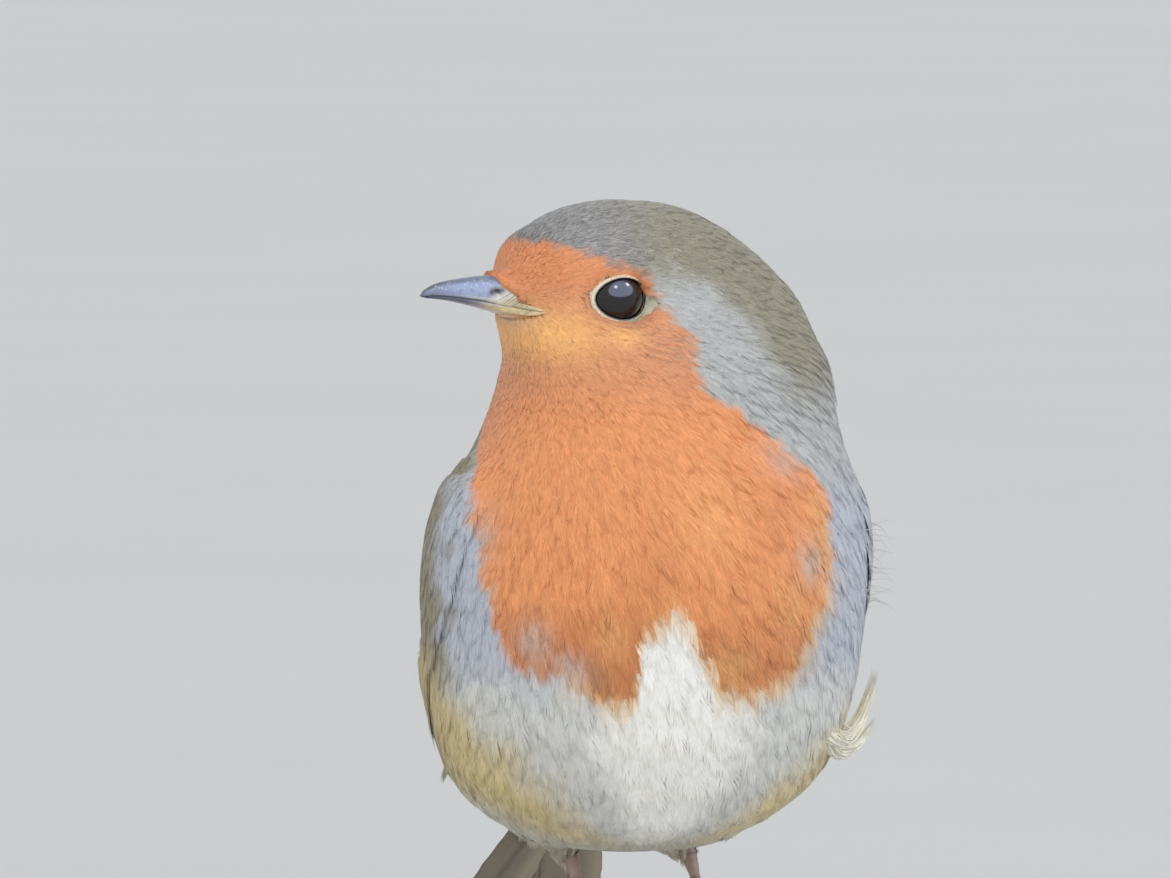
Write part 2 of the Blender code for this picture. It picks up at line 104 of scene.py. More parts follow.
def curve(root: Array, bend: Array, tip: Array, r: float) -> Tuple[Array, Array]:
    """A place on the curve that a bend draws from root to tip, and its direction there."""
    middle = (1 - r) ** 2 * root + 2 * r * (1 - r) * bend + r * r * tip
    return middle, unit((1 - r) * (bend - root) + r * (tip - bend))


def closing(t: float, first: float, last: float, least: float = 0.0) -> float:
    """How wide a closed shape is at a share along it, from 0 or so at both ends to 1 between them."""
    return min(1.0, first * t + least, last * (1.0 - t) + least) ** 0.5


def ripple(points: Array, size: float, seed: float = 0.0) -> Array:
    """Soft seedless unevenness from crossed waves, about -1 to 1.

    Args:
        points: places in millimetres.
        size: millimetres from crest to crest.
        seed: moves the pattern.

    Returns:
        One value for each place.
    """
    x, y, z = (points * (math.tau / size)).T + seed
    first = np.sin(x + 1.7 * np.sin(0.61 * y + seed)) * np.cos(0.83 * z + 1.3 * np.sin(0.7 * x))
    second = np.sin(0.53 * y + 1.1 * z + 2.0 * np.cos(0.37 * x + seed))
    return 0.6 * first + 0.4 * second


def screen(red: int, green: int, blue: int) -> Array:
    """Linear light of a colour given as it looks on a screen, 0 to 255."""
    share = np.array([red, green, blue]) / 255.0
    return np.where(share <= 0.04045, share / 12.92, ((share + 0.055) / 1.055) ** 2.4)


def dyed(rng: np.random.Generator, spread: float, *tones: Tuple[int, int, int]) -> Tuple[Array, ...]:
    """Colours for one feather, each a little lighter or darker than its tone."""
    return tuple(screen(*tone) * rng.normal(1.0, spread) for tone in tones)


# ---- landmarks ----------------------------------------------------------------------------------
@dataclass(frozen=True)
class Anatomy:
    """Landmarks of the bird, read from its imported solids."""

    offset: Array  # metres from the model's origin to the bird's own
    forward: Array  # the way the bill points
    left: Array  # the way the left eye looks
    eye_axis: Array = field(default_factory=lambda: np.array([-7.6, -4.5, 88.7]))
    eye_forward: float = 0.3
    eye_side: float = 5.3
    eye_up: float = 0.2
    eye_radius: float = 3.9
    bill_root: float = 12.0

    @classmethod
    def measure(cls) -> "Anatomy":
        """Take the landmarks from the two eyes."""
        left_eye, right_eye = (sum(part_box(f"eye_{side}"), Vector()) / 2 for side in SIDES)
        left = np.array((left_eye - right_eye).normalized())
        forward = np.array([left[1], -left[0], 0.0])
        middle = np.array((left_eye + right_eye) / 2)
        found = cls(np.zeros(3), forward, left)
        offset = middle - found.head_point(found.eye_forward, 0.0, found.eye_up) * MM
        return cls(offset, forward, left)

    def metres(self, points: Array) -> Array:
        """Turn the bird's own millimetres into the model's metres."""
        return np.asarray(points, float) * MM + self.offset

    def millimetres(self, points: Array) -> Array:
        """Turn the model's metres into the bird's own millimetres."""
        return (np.asarray(points, float) - self.offset) / MM

    def head_point(self, forward: float, left: float, up: float) -> Array:
        """A place in the head, from midway between the eyes."""
        return self.eye_axis + forward * self.forward + left * self.left + np.array([0, 0, up])

    def head_measures(self, points: Array) -> Tuple[Array, Array, Array]:
        """How far forward, left and up of the middle of the eyes places are."""
        away = points - self.eye_axis
        return away @ self.forward, away @ self.left, away[..., 2]

    def eye_measures(self, points: Array) -> Tuple[Array, Array, Array]:
        """How far ahead of the eyes, left of the head's middle and above the eyes places are."""
        forward, left, up = self.head_measures(points)
        return forward - self.eye_forward, left, up - self.eye_up

    def half_breadth(self, surface: "Surface", sign: float, forward: float, up: float) -> Optional[float]:
        """How far a side of the head stands out at a place, or None where it has none."""
        start = self.head_point(forward, sign * OUTSIDE, up)
        hit = surface.tree.ray_cast(start, -sign * self.left)[0]
        return None if hit is None else abs(float((np.array(hit) - self.eye_axis) @ self.left))

    def rows(self, piece: bpy.types.Object) -> Array:
        """A piece's vertices, in the bird's own millimetres."""
        return self.millimetres(vertices(piece))

    def move(self, piece: bpy.types.Object, rows: Array) -> None:
        """Move a piece's vertices to places in the bird's own millimetres."""
        set_vertices(piece, self.metres(rows))

    def corners(self, box: Any) -> Tuple[Array, Array]:
        """The lowest and highest corner of a node's box, in the bird's own millimetres."""
        low, high = (self.millimetres(np.array(corner)) for corner in box)
        return low, high

    @property
    def bill_base(self) -> Array:
        """Where the plumage starts, in the middle of the bill."""
        return self.head_point(self.bill_root, 0.0, 0.3)

    @property
    def tail_root(self) -> Array:
        """Where the plumage of the body ends."""
        return np.array([0.0, 37.0, 33.0])

    @property
    def tail_middle(self) -> Array:
        """A place inside the tail that the body's feathers point to."""
        return np.array([0.0, 60.0, 19.6])

    def eye_place(self, sign: float) -> Array:
        """The middle of an eyeball."""
        return self.head_point(self.eye_forward, sign * self.eye_side, self.eye_up)


# ---- markings -----------------------------------------------------------------------------------
class Dye(Enum):
    """The plumage's colours, each with how strongly its single barbs differ."""

    BREAST = (234, 154, 101, 0.07)
    # Darker rufous for the lower breast, partly its own tone and partly painted shade where the breast faces
    # downwards; also used for darker patches.
    BREAST_LOW = (199, 126, 80, 0.07)
    FOREHEAD = (228, 150, 102, 0.08)
    CHEEK = (218, 150, 108, 0.08)
    # Pale gold chin, lighter than its own tone: partly painted light that lifts the shade under the bill.
    CHIN = (248, 187, 118, 0.05)
    GOLD = (226, 180, 116, 0.07)
    BLUE_GREY = (184, 189, 199, 0.06)
    NECK_GREY = (182, 183, 181, 0.08)
    PALE_GREY = (213, 213, 207, 0.04)
    WHITE = (254, 252, 246, 0.025)
    BUFF = (212, 190, 128, 0.06)
    CROWN_GREY = (148, 146, 145, 0.24)
    OLIVE = (147, 141, 120, 0.12)
    MANTLE = (142, 133, 106, 0.09)
    RUMP = (146, 130, 98, 0.09)
    VENT = (206, 200, 180, 0.06)
    THIGH = (186, 180, 160, 0.07)
    UMBER = (150, 112, 84, 0.08)
    EYE_RING = (255, 250, 224, 0.04)

    @property
    def row(self) -> Array:
        """Linear red, green and blue, and the strength of the barbs."""
        red, green, blue, grain = self.value
        return np.append(screen(red, green, blue), grain)


@dataclass(frozen=True)
class Spot:
    """A soft patch of another colour on the breast, where feathers of both kinds mix."""

    dye: Dye
    bearing: float  # of its middle, in degrees to the bird's left
    height: float  # of its middle, z in millimetres
    breadth: float  # how far it reaches round the breast, in degrees
    tall: float  # how far it reaches up and down, in millimetres
    share: float  # how strong it is in the middle


@dataclass(frozen=True)
class Markings:
    """The robin's pattern as a rule on places, the same for its skin and its coat."""

    anatomy: Anatomy
    bearing_middle: float = 2.0  # y of the line that bearings round the body are taken from
    bib_radius: float = 22.0  # millimetres from that line to the breast's sides
    hem: Tuple[Tuple[float, float], ...] = (  # bearing and height of the bib's lower edge
        (-60, 50), (-49, 47.6), (-45, 46.4), (-34, 45.3), (-28, 44.7), (-23, 43), (-16.6, 42.4), (-13.2, 43.8),
        (-11.6, 50.4), (-6.3, 52.4), (-2.7, 53.2), (0, 51.5), (4.4, 48), (9.5, 44.2), (18.7, 43.6),
        (28, 44.8), (40, 48),
    )
    spots: Tuple[Spot, ...] = (
        Spot(Dye.NECK_GREY, -40.0, 49.6, 5.0, 2.6, 0.55),
        Spot(Dye.NECK_GREY, -30.0, 46.2, 5.0, 2.2, 0.60),
        Spot(Dye.NECK_GREY, -55.5, 54.5, 3.6, 1.6, 0.60),
        Spot(Dye.NECK_GREY, -57.5, 61.5, 4.6, 2.8, 0.50),
        Spot(Dye.NECK_GREY, 33.0, 58.6, 4.4, 2.4, 0.62),
        Spot(Dye.NECK_GREY, 28.0, 70.8, 6.0, 2.4, 0.45),
        Spot(Dye.UMBER, -22.6, 45.9, 3.0, 1.6, 0.50),
        Spot(Dye.GOLD, 38.5, 61.5, 5.0, 5.6, 0.45),
        Spot(Dye.GOLD, 27.0, 54.0, 5.0, 3.0, 0.35),
        Spot(Dye.CHIN, 5.0, 64.0, 9.0, 5.0, 0.30),
        Spot(Dye.GOLD, 12.0, 47.2, 6.0, 2.0, 0.45),
        Spot(Dye.GOLD, -19.0, 50.0, 4.0, 3.0, 0.40),
        Spot(Dye.BREAST_LOW, -8.0, 57.0, 7.0, 4.0, 0.35),
        Spot(Dye.BREAST_LOW, 22.0, 63.0, 5.0, 3.0, 0.30),
    )

    def bearing(self, points: Array) -> Array:
        """Degrees round the body from straight ahead, above 0 on the bird's left."""
        return np.degrees(np.arctan2(points[:, 0], self.bearing_middle - points[:, 1]))

    def orange_edge(self, points: Array) -> Array:
        """How far inside the orange bib places are, in millimetres, below 0 outside it."""
        forward, _, up = self.anatomy.head_measures(points)
        z, bearing = points[:, 2], self.bearing(points)
        rear = np.interp(up, [-13, -10, -6, -3.5, -1.8, 0, 3.3], [-5.5, -4.8, -6.0, -6.2, -4.8, -3.3, -3.0])
        top = np.interp(forward, [-4.4, -3, 0, 2, 3.6, 5.6, 8, 10], [2.6, 3.1, 3.9, 4.5, 5.3, 6.0, 6.6, 7.0])
        face = np.minimum(forward - rear, top - up)
        heights = [40, 44, 48, 51, 54, 59, 66, 69, 72.7, 76, 80]
        on_left = np.interp(z, heights, [30, 33, 32, 35, 38.5, 41, 41, 37, 27, 16, 6])
        on_right = np.interp(z, heights, [-40, -44, -50, -52, -54, -58, -63, -67, -84, -100, -125])
        middle, half = 0.5 * (on_left + on_right), 0.5 * (on_left - on_right)
        side = (half - np.abs(bearing - middle)) * math.radians(1.0) * self.bib_radius
        hem = z - np.interp(bearing, *zip(*self.hem))
        return blend(np.minimum(side, hem)[:, None], face[:, None], smooth(z, 76.0, 80.0))[:, 0]

    def colour(self, points: Array) -> Array:
        """The plumage's colour and strength of barbs at places, as rows of four.

        Args:
            points: places in millimetres.

        Returns:
            Linear red, green and blue and the barbs' strength, for each place.
        """
        forward, _, up = self.anatomy.head_measures(points)
        x, y, z = points.T
        uneven = ripple(points, 7.0)
        fine = ripple(points, 2.6, 2.0)
        round_body = self.bearing(points)
        bearing = np.abs(round_body)
        in_head = smooth(z, 74.0, 82.0)
        # Upper parts: greyer at the front of the crown, olive behind, browner down the back.
        dye = blend(Dye.MANTLE.row, Dye.OLIVE.row, smooth(z, 66.0, 80.0))
        dye = blend(dye, Dye.CROWN_GREY.row, smooth(forward + 1.5 * uneven, -9.0, 4.0) * in_head)
        dye = blend(dye, Dye.RUMP.row, smooth(-z, -52.0, -40.0) * smooth(y, 5.0, 20.0))
        # The blue-grey band that borders the bib, down both sides of the neck and breast.
        behind = np.interp(up, [-16, -12, -8, -4, -1, 2, 5], [-17, -15.5, -15, -14.5, -13, -10.5, -8])
        band = blend(
            smooth(76.0 + 5.0 * smooth(x, -5.0, 5.0) + 7.0 * uneven - bearing, -8.0, 8.0)[:, None],
            (smooth(forward - behind + 1.6 * uneven, -3.5, 3.0) * smooth(2.6 - up + fine, -2.5, 2.5))[:, None],
            in_head,
        )[:, 0]
        dye = blend(dye, blend(Dye.BLUE_GREY.row, Dye.NECK_GREY.row, smooth(z, 62.0, 72.0)), band)
        # Pale under parts: white in the middle, grey-white at the sides, buff on flanks and vent.
        low = smooth(-z + 2.0 * uneven, -50.0, -40.0) * smooth(95.0 - bearing, 0.0, 25.0)
        dye = blend(dye, Dye.PALE_GREY.row, low)
        front_edge = np.interp(z, [28.0, 32.6, 38.0, 43.6, 50.0], [38.0, 44.0, 54.0, 76.0, 95.0])
        flank = smooth(bearing + 6.0 * uneven - front_edge, -10.0, 28.0) * smooth(-z, -54.0, -46.0)
        flank = flank * smooth(-y, -30.0, -12.0) * (1.0 - 0.5 * smooth(bearing, 80.0, 125.0))
        dye = blend(dye, Dye.BUFF.row, 0.9 * flank)
        stripe = smooth(23.0 - bearing + 5.0 * uneven, -12.0, 12.0) * smooth(-z, -56.0, -50.0)
        dye = blend(dye, Dye.WHITE.row, 0.9 * stripe)
        turning = np.interp(y, [20.0, 38.0, 42.0, 50.0], [31.0, 31.0, 29.5, 24.5])
        turning = turning + 3.5 * smooth(np.abs(x), 5.0, 9.0) * smooth(y, 18.0, 28.0)
        under = smooth(turning - z, -2.0, 2.0) * smooth(y, -4.0, 10.0)
        dye = blend(dye, Dye.VENT.row, under)
        dye = blend(dye, Dye.THIGH.row, smooth(-z, -27.5, -25.0))
        # The orange face, throat and breast, with a golden fringe where it meets the white.
        edge = self.orange_edge(points) + 0.55 * fine + 0.5 * uneven
        # The orange darkens towards the lower breast: partly the plumage's own tone, partly painted shade where the
        # breast faces downwards.
        orange = blend(Dye.BREAST.row, Dye.BREAST_LOW.row, 0.8 * smooth(-z + 2.0 * uneven, -56.0, -47.0))
        for spot in self.spots:
            across, above = (round_body - spot.bearing) / spot.breadth, (z - spot.height) / spot.tall
            share = spot.share * np.exp(-((across + 0.25 * fine) ** 2) - (above + 0.25 * uneven) ** 2)
            orange = blend(orange, spot.dye.row, share)
        orange = blend(orange, Dye.CHEEK.row, in_head)
        # The chin and a patch under the eye take the pale gold; under the bill it is partly painted light that
        # lifts the shade there.
        under_bill = np.exp(-(((forward - 8.0) / 4.5) ** 2) - ((up + 4.0) / 3.0) ** 2)
        under_eye = np.exp(-(((forward - 1.6) / 2.2) ** 2) - ((up + 4.0) / 1.3) ** 2)
        orange = blend(orange, Dye.CHIN.row, np.maximum(under_bill, under_eye))
        orange = blend(orange, Dye.FOREHEAD.row, in_head * smooth(up + 0.6 * fine, -0.5, 3.0))
        below_bill = np.exp(-(((forward - 12.0) / 1.7) ** 2) - ((up + 2.3) / 1.2) ** 2)
        orange = blend(orange, Dye.VENT.row, 0.75 * below_bill * in_head)
        fringe = np.exp(-((edge + 0.4) ** 2) / 2.4) * smooth(-z, -60.0, -52.0) * smooth(x, -16.0, -8.0)
        dye = blend(dye, orange, smooth(edge, -0.9, 0.9))
        ear = np.exp(-(((forward + 4.0) / 2.6) ** 2) - ((up + 5.5) / 2.2) ** 2) * in_head
        dye = blend(dye, Dye.OLIVE.row, 0.55 * ear * smooth(ripple(points, 1.4, 4.0), -0.3, 0.7))
        dye = blend(dye, Dye.GOLD.row, 0.55 * fringe)
        return dye


# ---- shader sums --------------------------------------------------------------------------------
Operand = Union["Signal", float]


class Signal:
    """A shader socket that Python arithmetic works on."""

    def __init__(self, graph: "Graph", socket: bpy.types.NodeSocket) -> None:
        """Wrap an output socket of a graph's node."""
        self.graph = graph
        self.socket = socket

    def _sum(self, operation: str, first: Operand, second: Operand) -> "Signal":
        """Add one Math node."""
        return self.graph.node("ShaderNodeMath", {"operation": operation}, {0: first, 1: second})

    def __add__(self, other: Operand) -> "Signal":
        """Add."""
        return self._sum("ADD", self, other)

    def __sub__(self, other: Operand) -> "Signal":
        """Subtract."""
        return self._sum("SUBTRACT", self, other)

    def __rsub__(self, other: Operand) -> "Signal":
        """Subtract from a number."""
        return self._sum("SUBTRACT", other, self)

    def __mul__(self, other: Operand) -> "Signal":
        """Multiply."""
        return self._sum("MULTIPLY", self, other)

    def __truediv__(self, other: Operand) -> "Signal":
        """Divide."""
        return self._sum("DIVIDE", self, other)

    __radd__ = __add__
    __rmul__ = __mul__


class Graph:
    """A material's nodes, made one call at a time."""

    def __init__(self, name: str) -> None:
        """Start a material with an empty Principled surface.

        Args:
            name: the material's name.
        """
        self.material = bpy.data.materials.new(name)
        self.material.use_nodes = True
        self.tree = self.material.node_tree
        self.surface = self.tree.nodes["Principled BSDF"]

    def node(
        self,
        kind: str,
        settings: Optional[Dict[str, Any]] = None,
        inputs: Optional[Dict[Any, Any]] = None,
        output: Union[int, str] = 0,
    ) -> Signal:
        """Add any node.

        Args:
            kind: the node's type.
            settings: its own settings; "stops" fills a colour ramp.
            inputs: values or signals for its sockets, by name or number.
            output: the socket to carry on from.

        Returns:
            The output as a signal.
        """
        made = self.tree.nodes.new(kind)
        for name, value in (settings or {}).items():
            if name == "stops":
                stops = made.color_ramp.elements
                while len(stops) < len(value):
                    stops.new(1.0)
                for stop, (place, colour) in zip(stops, value):
                    stop.position, stop.color = place, (*colour, 1.0)
            else:
                setattr(made, name, value)
        self.feed(made, inputs or {})
        return Signal(self, made.outputs[output])

    def feed(self, node: bpy.types.Node, inputs: Dict[Any, Any]) -> None:
        """Set or link a node's sockets."""
        for name, value in inputs.items():
            socket = node.inputs[name]
            if isinstance(value, Signal):
                self.tree.links.new(value.socket, socket)
            elif isinstance(value, (tuple, list, np.ndarray)) and len(socket.default_value) == 4:
                socket.default_value = (*value[:3], 1.0)
            else:
                socket.default_value = value

    def dress(self, **inputs: Any) -> None:
        """Feed the Principled surface, with _ for the blanks in its sockets' names."""
        self.feed(self.surface, {name.replace("_", " "): value for name, value in inputs.items()})

    def attribute(self, name: str, output: str = "Color") -> Signal:
        """Read one of the mesh's own attributes."""
        return self.node("ShaderNodeAttribute", {"attribute_name": name}, output=output)

    def place(self) -> Signal:
        """The place on the piece, in metres."""
        return self.node("ShaderNodeTexCoord", output="Object")

    def noise(self, where: Signal, scale: float, detail: float = 3.0) -> Signal:
        """Fractal noise, 0 to 1.

        Args:
            where: the place to read it at.
            scale: how many cells there are to a metre.
            detail: its octaves.

        Returns:
            The noise as a signal.
        """
        return self.node("ShaderNodeTexNoise", None, {"Vector": where, "Scale": scale, "Detail": detail})

    def tint(self, colour: Signal, strength: Signal) -> Signal:
        """Darken or lighten a colour by a factor."""
        grey = self.node("ShaderNodeCombineXYZ", None, {0: strength, 1: strength, 2: strength})
        return self.node("ShaderNodeVectorMath", {"operation": "MULTIPLY"}, {0: colour, 1: grey})

    def mix(self, share: Operand, first: Any, second: Any) -> Signal:
        """Mix two colours."""
        made = self.tree.nodes.new("ShaderNodeMix")
        made.data_type = "RGBA"
        numbers = {socket.identifier: number for number, socket in enumerate(made.inputs)}
        wanted = {"Factor_Float": share, "A_Color": first, "B_Color": second}
        self.feed(made, {numbers[name]: value for name, value in wanted.items()})
        return Signal(self, next(s for s in made.outputs if s.identifier == "Result_Color"))

    def bump(self, height: Signal, depth: float) -> Signal:
        """Turn heights into normals.

        Args:
            height: the height, 0 to 1.
            depth: what 1 is, in metres.

        Returns:
            The normals.
        """
        return self.node("ShaderNodeBump", None, {"Height": height, "Distance": depth}, "Normal")


# ---- finishes -----------------------------------------------------------------------------------
@dataclass(frozen=True)
class PlumageFinish:
    """Soft barbs that carry their own colours."""

    name: str
    roughness: float = 0.8
    sheen: float = 0.25
    mottle: float = 0.10

    def make(self) -> bpy.types.Material:
        """Make the material."""
        graph = Graph(self.name)
        noise = graph.noise(graph.place(), 900.0)
        strength = 1.0 + self.mottle * (noise - 0.5) * 2.0
        graph.dress(
            Base_Color=graph.tint(graph.attribute("plumage"), strength),
            Roughness=self.roughness,
            Sheen_Weight=self.sheen,
            Sheen_Roughness=0.5,
            Specular_IOR_Level=0.2,
        )
        return graph.material


@dataclass(frozen=True)
class VaneFinish:
    """Closed vanes of wing and tail, with their barbs as fine grooves."""

    name: str
    barbs: float = 90.0  # to the length of a vane
    roughness: float = 0.55

    def make(self) -> bpy.types.Material:
        """Make the material."""
        graph = Graph(self.name)
        along = graph.attribute("along", "Fac")
        across = graph.node("ShaderNodeMath", {"operation": "ABSOLUTE"}, {0: graph.attribute("across", "Fac")})
        uneven = graph.noise(graph.place(), 700.0)
        turn = (along - 0.13 * across) * (self.barbs * math.tau) + uneven * 3.0
        wave = graph.node("ShaderNodeMath", {"operation": "SINE"}, {0: turn})
        strength = 1.0 + 0.07 * wave + 0.16 * (uneven - 0.5)
        graph.dress(
            Base_Color=graph.tint(graph.attribute("plumage"), strength),
            Roughness=self.roughness,
            Sheen_Weight=0.15,
            Specular_IOR_Level=0.35,
            Normal=graph.bump(wave * 0.5 + uneven, 0.00005),
        )
        return graph.material


@dataclass(frozen=True)
class EyeFinish:
    """A wet, very dark brown eye with a black pupil."""

    anatomy: Anatomy
    sign: float
    iris: Tuple[int, int, int] = (24, 19, 18)
    pupil_radius: float = 2.3

    def make(self) -> bpy.types.Material:
        """Make the material, with its rings about the line that the eye looks along."""
        graph = Graph(f"eye_gloss_{'left' if self.sign > 0 else 'right'}")
        apex = self.anatomy.head_point(self.anatomy.eye_forward, self.sign * 9.2, self.anatomy.eye_up)
        middle = self.anatomy.metres(apex)
        wanted = {0: graph.place(), 1: tuple(middle)}
        away = graph.node("ShaderNodeVectorMath", {"operation": "DISTANCE"}, wanted, "Value")
        ring = graph.node(
            "ShaderNodeMapRange",
            {"interpolation_type": "SMOOTHSTEP"},
            {
                "Value": away,
                "From Min": (self.pupil_radius - 0.15) * MM,
                "From Max": (self.pupil_radius + 0.2) * MM,
            },
        )
        streaks = graph.noise(graph.place(), 2600.0)
        iris = graph.mix(streaks, tuple(screen(*self.iris)), tuple(0.45 * screen(*self.iris)))
        graph.dress(
            Base_Color=graph.mix(ring, (0.006, 0.005, 0.006), iris),
            Roughness=0.12,
            IOR=1.38,
            Coat_Weight=0.6,
            Coat_Roughness=0.05,
        )
        return graph.material


@dataclass(frozen=True)
class HornFinish:
    """Horn of bill and claws, coloured by the mesh, with a fine uneven grain."""

    name: str
    roughness: float = 0.32
    scale: float = 1500.0

    def make(self) -> bpy.types.Material:
        """Make the material."""
        graph = Graph(self.name)
        noise = graph.noise(graph.place(), self.scale, 5.0)
        coarse = graph.noise(graph.place(), 0.3 * self.scale)
        strength = 0.82 + 0.26 * noise + 0.12 * coarse
        graph.dress(
            Base_Color=graph.tint(graph.attribute("plumage"), strength),
            Roughness=self.roughness + 0.2 * (coarse - 0.4),
            Specular_IOR_Level=0.5,
            Coat_Weight=0.25,
            Coat_Roughness=0.25,
            Normal=graph.bump(noise, 0.00004),
        )
        return graph.material


@dataclass(frozen=True)
class LegFinish:
    """Thin horny skin of shanks and toes, pinkish brown and scaled."""

    name: str
    tone: Tuple[int, int, int] = (172, 145, 132)

    def make(self) -> bpy.types.Material:
        """Make the material."""
        graph = Graph(self.name)
        noise = graph.noise(graph.place(), 1800.0, 4.0)
        groove = graph.attribute("groove", "Fac")
        base = graph.mix(noise, tuple(screen(*self.tone)), tuple(0.62 * screen(*self.tone)))
        graph.dress(
            Base_Color=graph.mix(0.75 * groove, base, tuple(0.3 * screen(*self.tone))),
            Roughness=0.42 + 0.2 * noise,
            Specular_IOR_Level=0.45,
            Normal=graph.bump(noise, 0.00003),
        )
        return graph.material


# ---- meshes -------------------------------------------------------------------------------------
@dataclass
class Batch:
    """Vertices and triangles that go into one mesh, with what each vertex carries."""

    points: Array
    faces: Array
    colours: Array
    normals: Optional[Array] = None
    uv: Optional[Array] = None
    extra: Dict[str, Array] = field(default_factory=dict)

    @staticmethod
    def joined(batches: Sequence["Batch"]) -> "Batch":
        """Put several batches together."""
        starts = np.cumsum([0] + [len(b.points) for b in batches[:-1]])
        first = batches[0]
        return Batch(
            np.concatenate([b.points for b in batches]),
            np.concatenate([b.faces + start for b, start in zip(batches, starts)]),
            np.concatenate([b.colours for b in batches]),
            None if first.normals is None else np.concatenate([b.normals for b in batches]),
            None if first.uv is None else np.concatenate([b.uv for b in batches]),
            {name: np.concatenate([b.extra[name] for b in batches]) for name in first.extra},
        )

    def build(self, name: str, anatomy: Anatomy, material: bpy.types.Material) -> bpy.types.Object:
        """Make the object.

        Args:
            name: the piece's name.
            anatomy: turns millimetres into the model's metres.
            material: its finish.

        Returns:
            The object, at the origin, with its place in its mesh.
        """
        mesh = bpy.data.meshes.new(name)
        count, faces = len(self.points), len(self.faces)
        mesh.vertices.add(count)
        mesh.vertices.foreach_set("co", anatomy.metres(self.points).astype(np.float32).ravel())
        mesh.loops.add(3 * faces)
        mesh.loops.foreach_set("vertex_index", self.faces.astype(np.int32).ravel())
        mesh.polygons.add(faces)
        mesh.polygons.foreach_set("loop_start", np.arange(0, 3 * faces, 3, dtype=np.int32))
        mesh.update(calc_edges=True)
        mesh.shade_smooth()
        for label, values in {"plumage": self.colours, **self.extra}.items():
            carry(mesh, label, values)
        if self.uv is not None:
            layer = mesh.uv_layers.new(name="OFBake")
            layer.uv.foreach_set("vector", self.uv[self.faces.ravel()].astype(np.float32).ravel())
        if self.normals is not None:
            mesh.normals_split_custom_set_from_vertices(unit(self.normals).astype(np.float32))
        mesh.validate()
        mesh.materials.append(material)
        return placed(name, mesh)


def placed(name: str, data: Any) -> bpy.types.Object:
    """Put an object in the scene, at the origin."""
    made = bpy.data.objects.new(name, data)
    bpy.context.scene.collection.objects.link(made)
    return made


def carry(mesh: bpy.types.Mesh, label: str, values: Array) -> None:
    """Give each vertex of a mesh a number or a colour."""
    if values.ndim == 1:
        attribute = mesh.attributes.new(label, "FLOAT", "POINT")
        attribute.data.foreach_set("value", values.astype(np.float32))
        return
    rgba = np.ones((len(values), 4), np.float32)
    rgba[:, :3] = values[:, :3]
    mesh.attributes.new(label, "FLOAT_COLOR", "POINT").data.foreach_set("color", rgba.ravel())


def vertices(piece: bpy.types.Object) -> Array:
    """A mesh's vertices, as rows in metres."""
    rows = np.zeros(3 * len(piece.data.vertices), np.float32)
    piece.data.vertices.foreach_get("co", rows)
    return rows.reshape(-1, 3).astype(float)


def set_vertices(piece: bpy.types.Object, rows: Array) -> None:
    """Move a mesh's vertices."""
    piece.data.vertices.foreach_set("co", rows.astype(np.float32).ravel())
    piece.data.update()


def triangles(piece: bpy.types.Object) -> Array:
    """A mesh's triangles, as rows of vertex numbers."""
    piece.data.calc_loop_triangles()
    rows = np.zeros(3 * len(piece.data.loop_triangles), np.int32)
    piece.data.loop_triangles.foreach_get("vertices", rows)
    return rows.reshape(-1, 3)


def only(piece: bpy.types.Object) -> bpy.types.Object:
    """Select one object alone and make it active."""
    bpy.ops.object.select_all(action="DESELECT")
    piece.select_set(True)
    bpy.context.view_layer.objects.active = piece
    return piece


def with_modifier(piece: bpy.types.Object, kind: str, **settings: Any) -> None:
    """Add a modifier and apply it."""
    only(piece)
    modifier = piece.modifiers.new(kind.lower(), kind)
    for name, value in settings.items():
        setattr(modifier, name, value)
    bpy.ops.object.modifier_apply(modifier=modifier.name)


def joined(pieces: Sequence[bpy.types.Object]) -> bpy.types.Object:
    """Join objects into the first of them."""
    only(pieces[0])
    for piece in pieces:
        piece.select_set(True)
    bpy.ops.object.join()
    return bpy.context.object


def merged(piece: bpy.types.Object, reach: float, outwards: bool = False) -> bpy.types.Object:
    """Merge an object's doubles.

    Args:
        piece: the object.
        reach: how far apart doubles lie at most, in metres.
        outwards: whether its faces are turned outwards too.

    Returns:
        The same object.
    """
    only(piece)
    bpy.ops.object.mode_set(mode="EDIT")
    bpy.ops.mesh.select_all(action="SELECT")
    bpy.ops.mesh.remove_doubles(threshold=reach)
    if outwards:
        bpy.ops.mesh.normals_make_consistent(inside=False)
    bpy.ops.object.mode_set(mode="OBJECT")
    return piece


def copy_of(node: bpy.types.Object, name: str) -> bpy.types.Object:
    """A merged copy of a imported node, free of its body."""
    copy = node.copy()
    copy.data = node.data.copy()
    copy.parent = None
    copy.name = name
    copy.hide_render = copy.hide_viewport = False
    for label in [key for key in copy.keys() if key.startswith("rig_")]:
        del copy[label]
    bpy.context.scene.collection.objects.link(copy)
    copy.data.materials.clear()
    return merged(copy, 1e-6)


def wrapped(
    name: str,
    around: int,
    along: int,
    shape: Callable[[float, float], Sequence[float]],
    anatomy: Anatomy,
) -> bpy.types.Object:
    """Wrap a grid into a closed tube.

    Args:
        name: the piece's name.
        around: faces round it.
        along: faces from one end to the other.
        shape: gives the place, in millimetres, at shares 0 to 1 around and along.
        anatomy: turns millimetres into the model's metres.

    Returns:
        The closed object.
    """
    bpy.ops.object.select_all(action="DESELECT")
    bpy.ops.mesh.primitive_grid_add(x_subdivisions=around, y_subdivisions=along, size=1.0)
    piece = bpy.context.object
    piece.name = piece.data.name = name
    shares = vertices(piece)[:, :2] + 0.5
    rows = np.array([shape(float(s), float(t)) for s, t in shares])
    anatomy.move(piece, rows)
    merged(piece, 2e-6, outwards=True)
    piece.data.shade_smooth()
    return piece


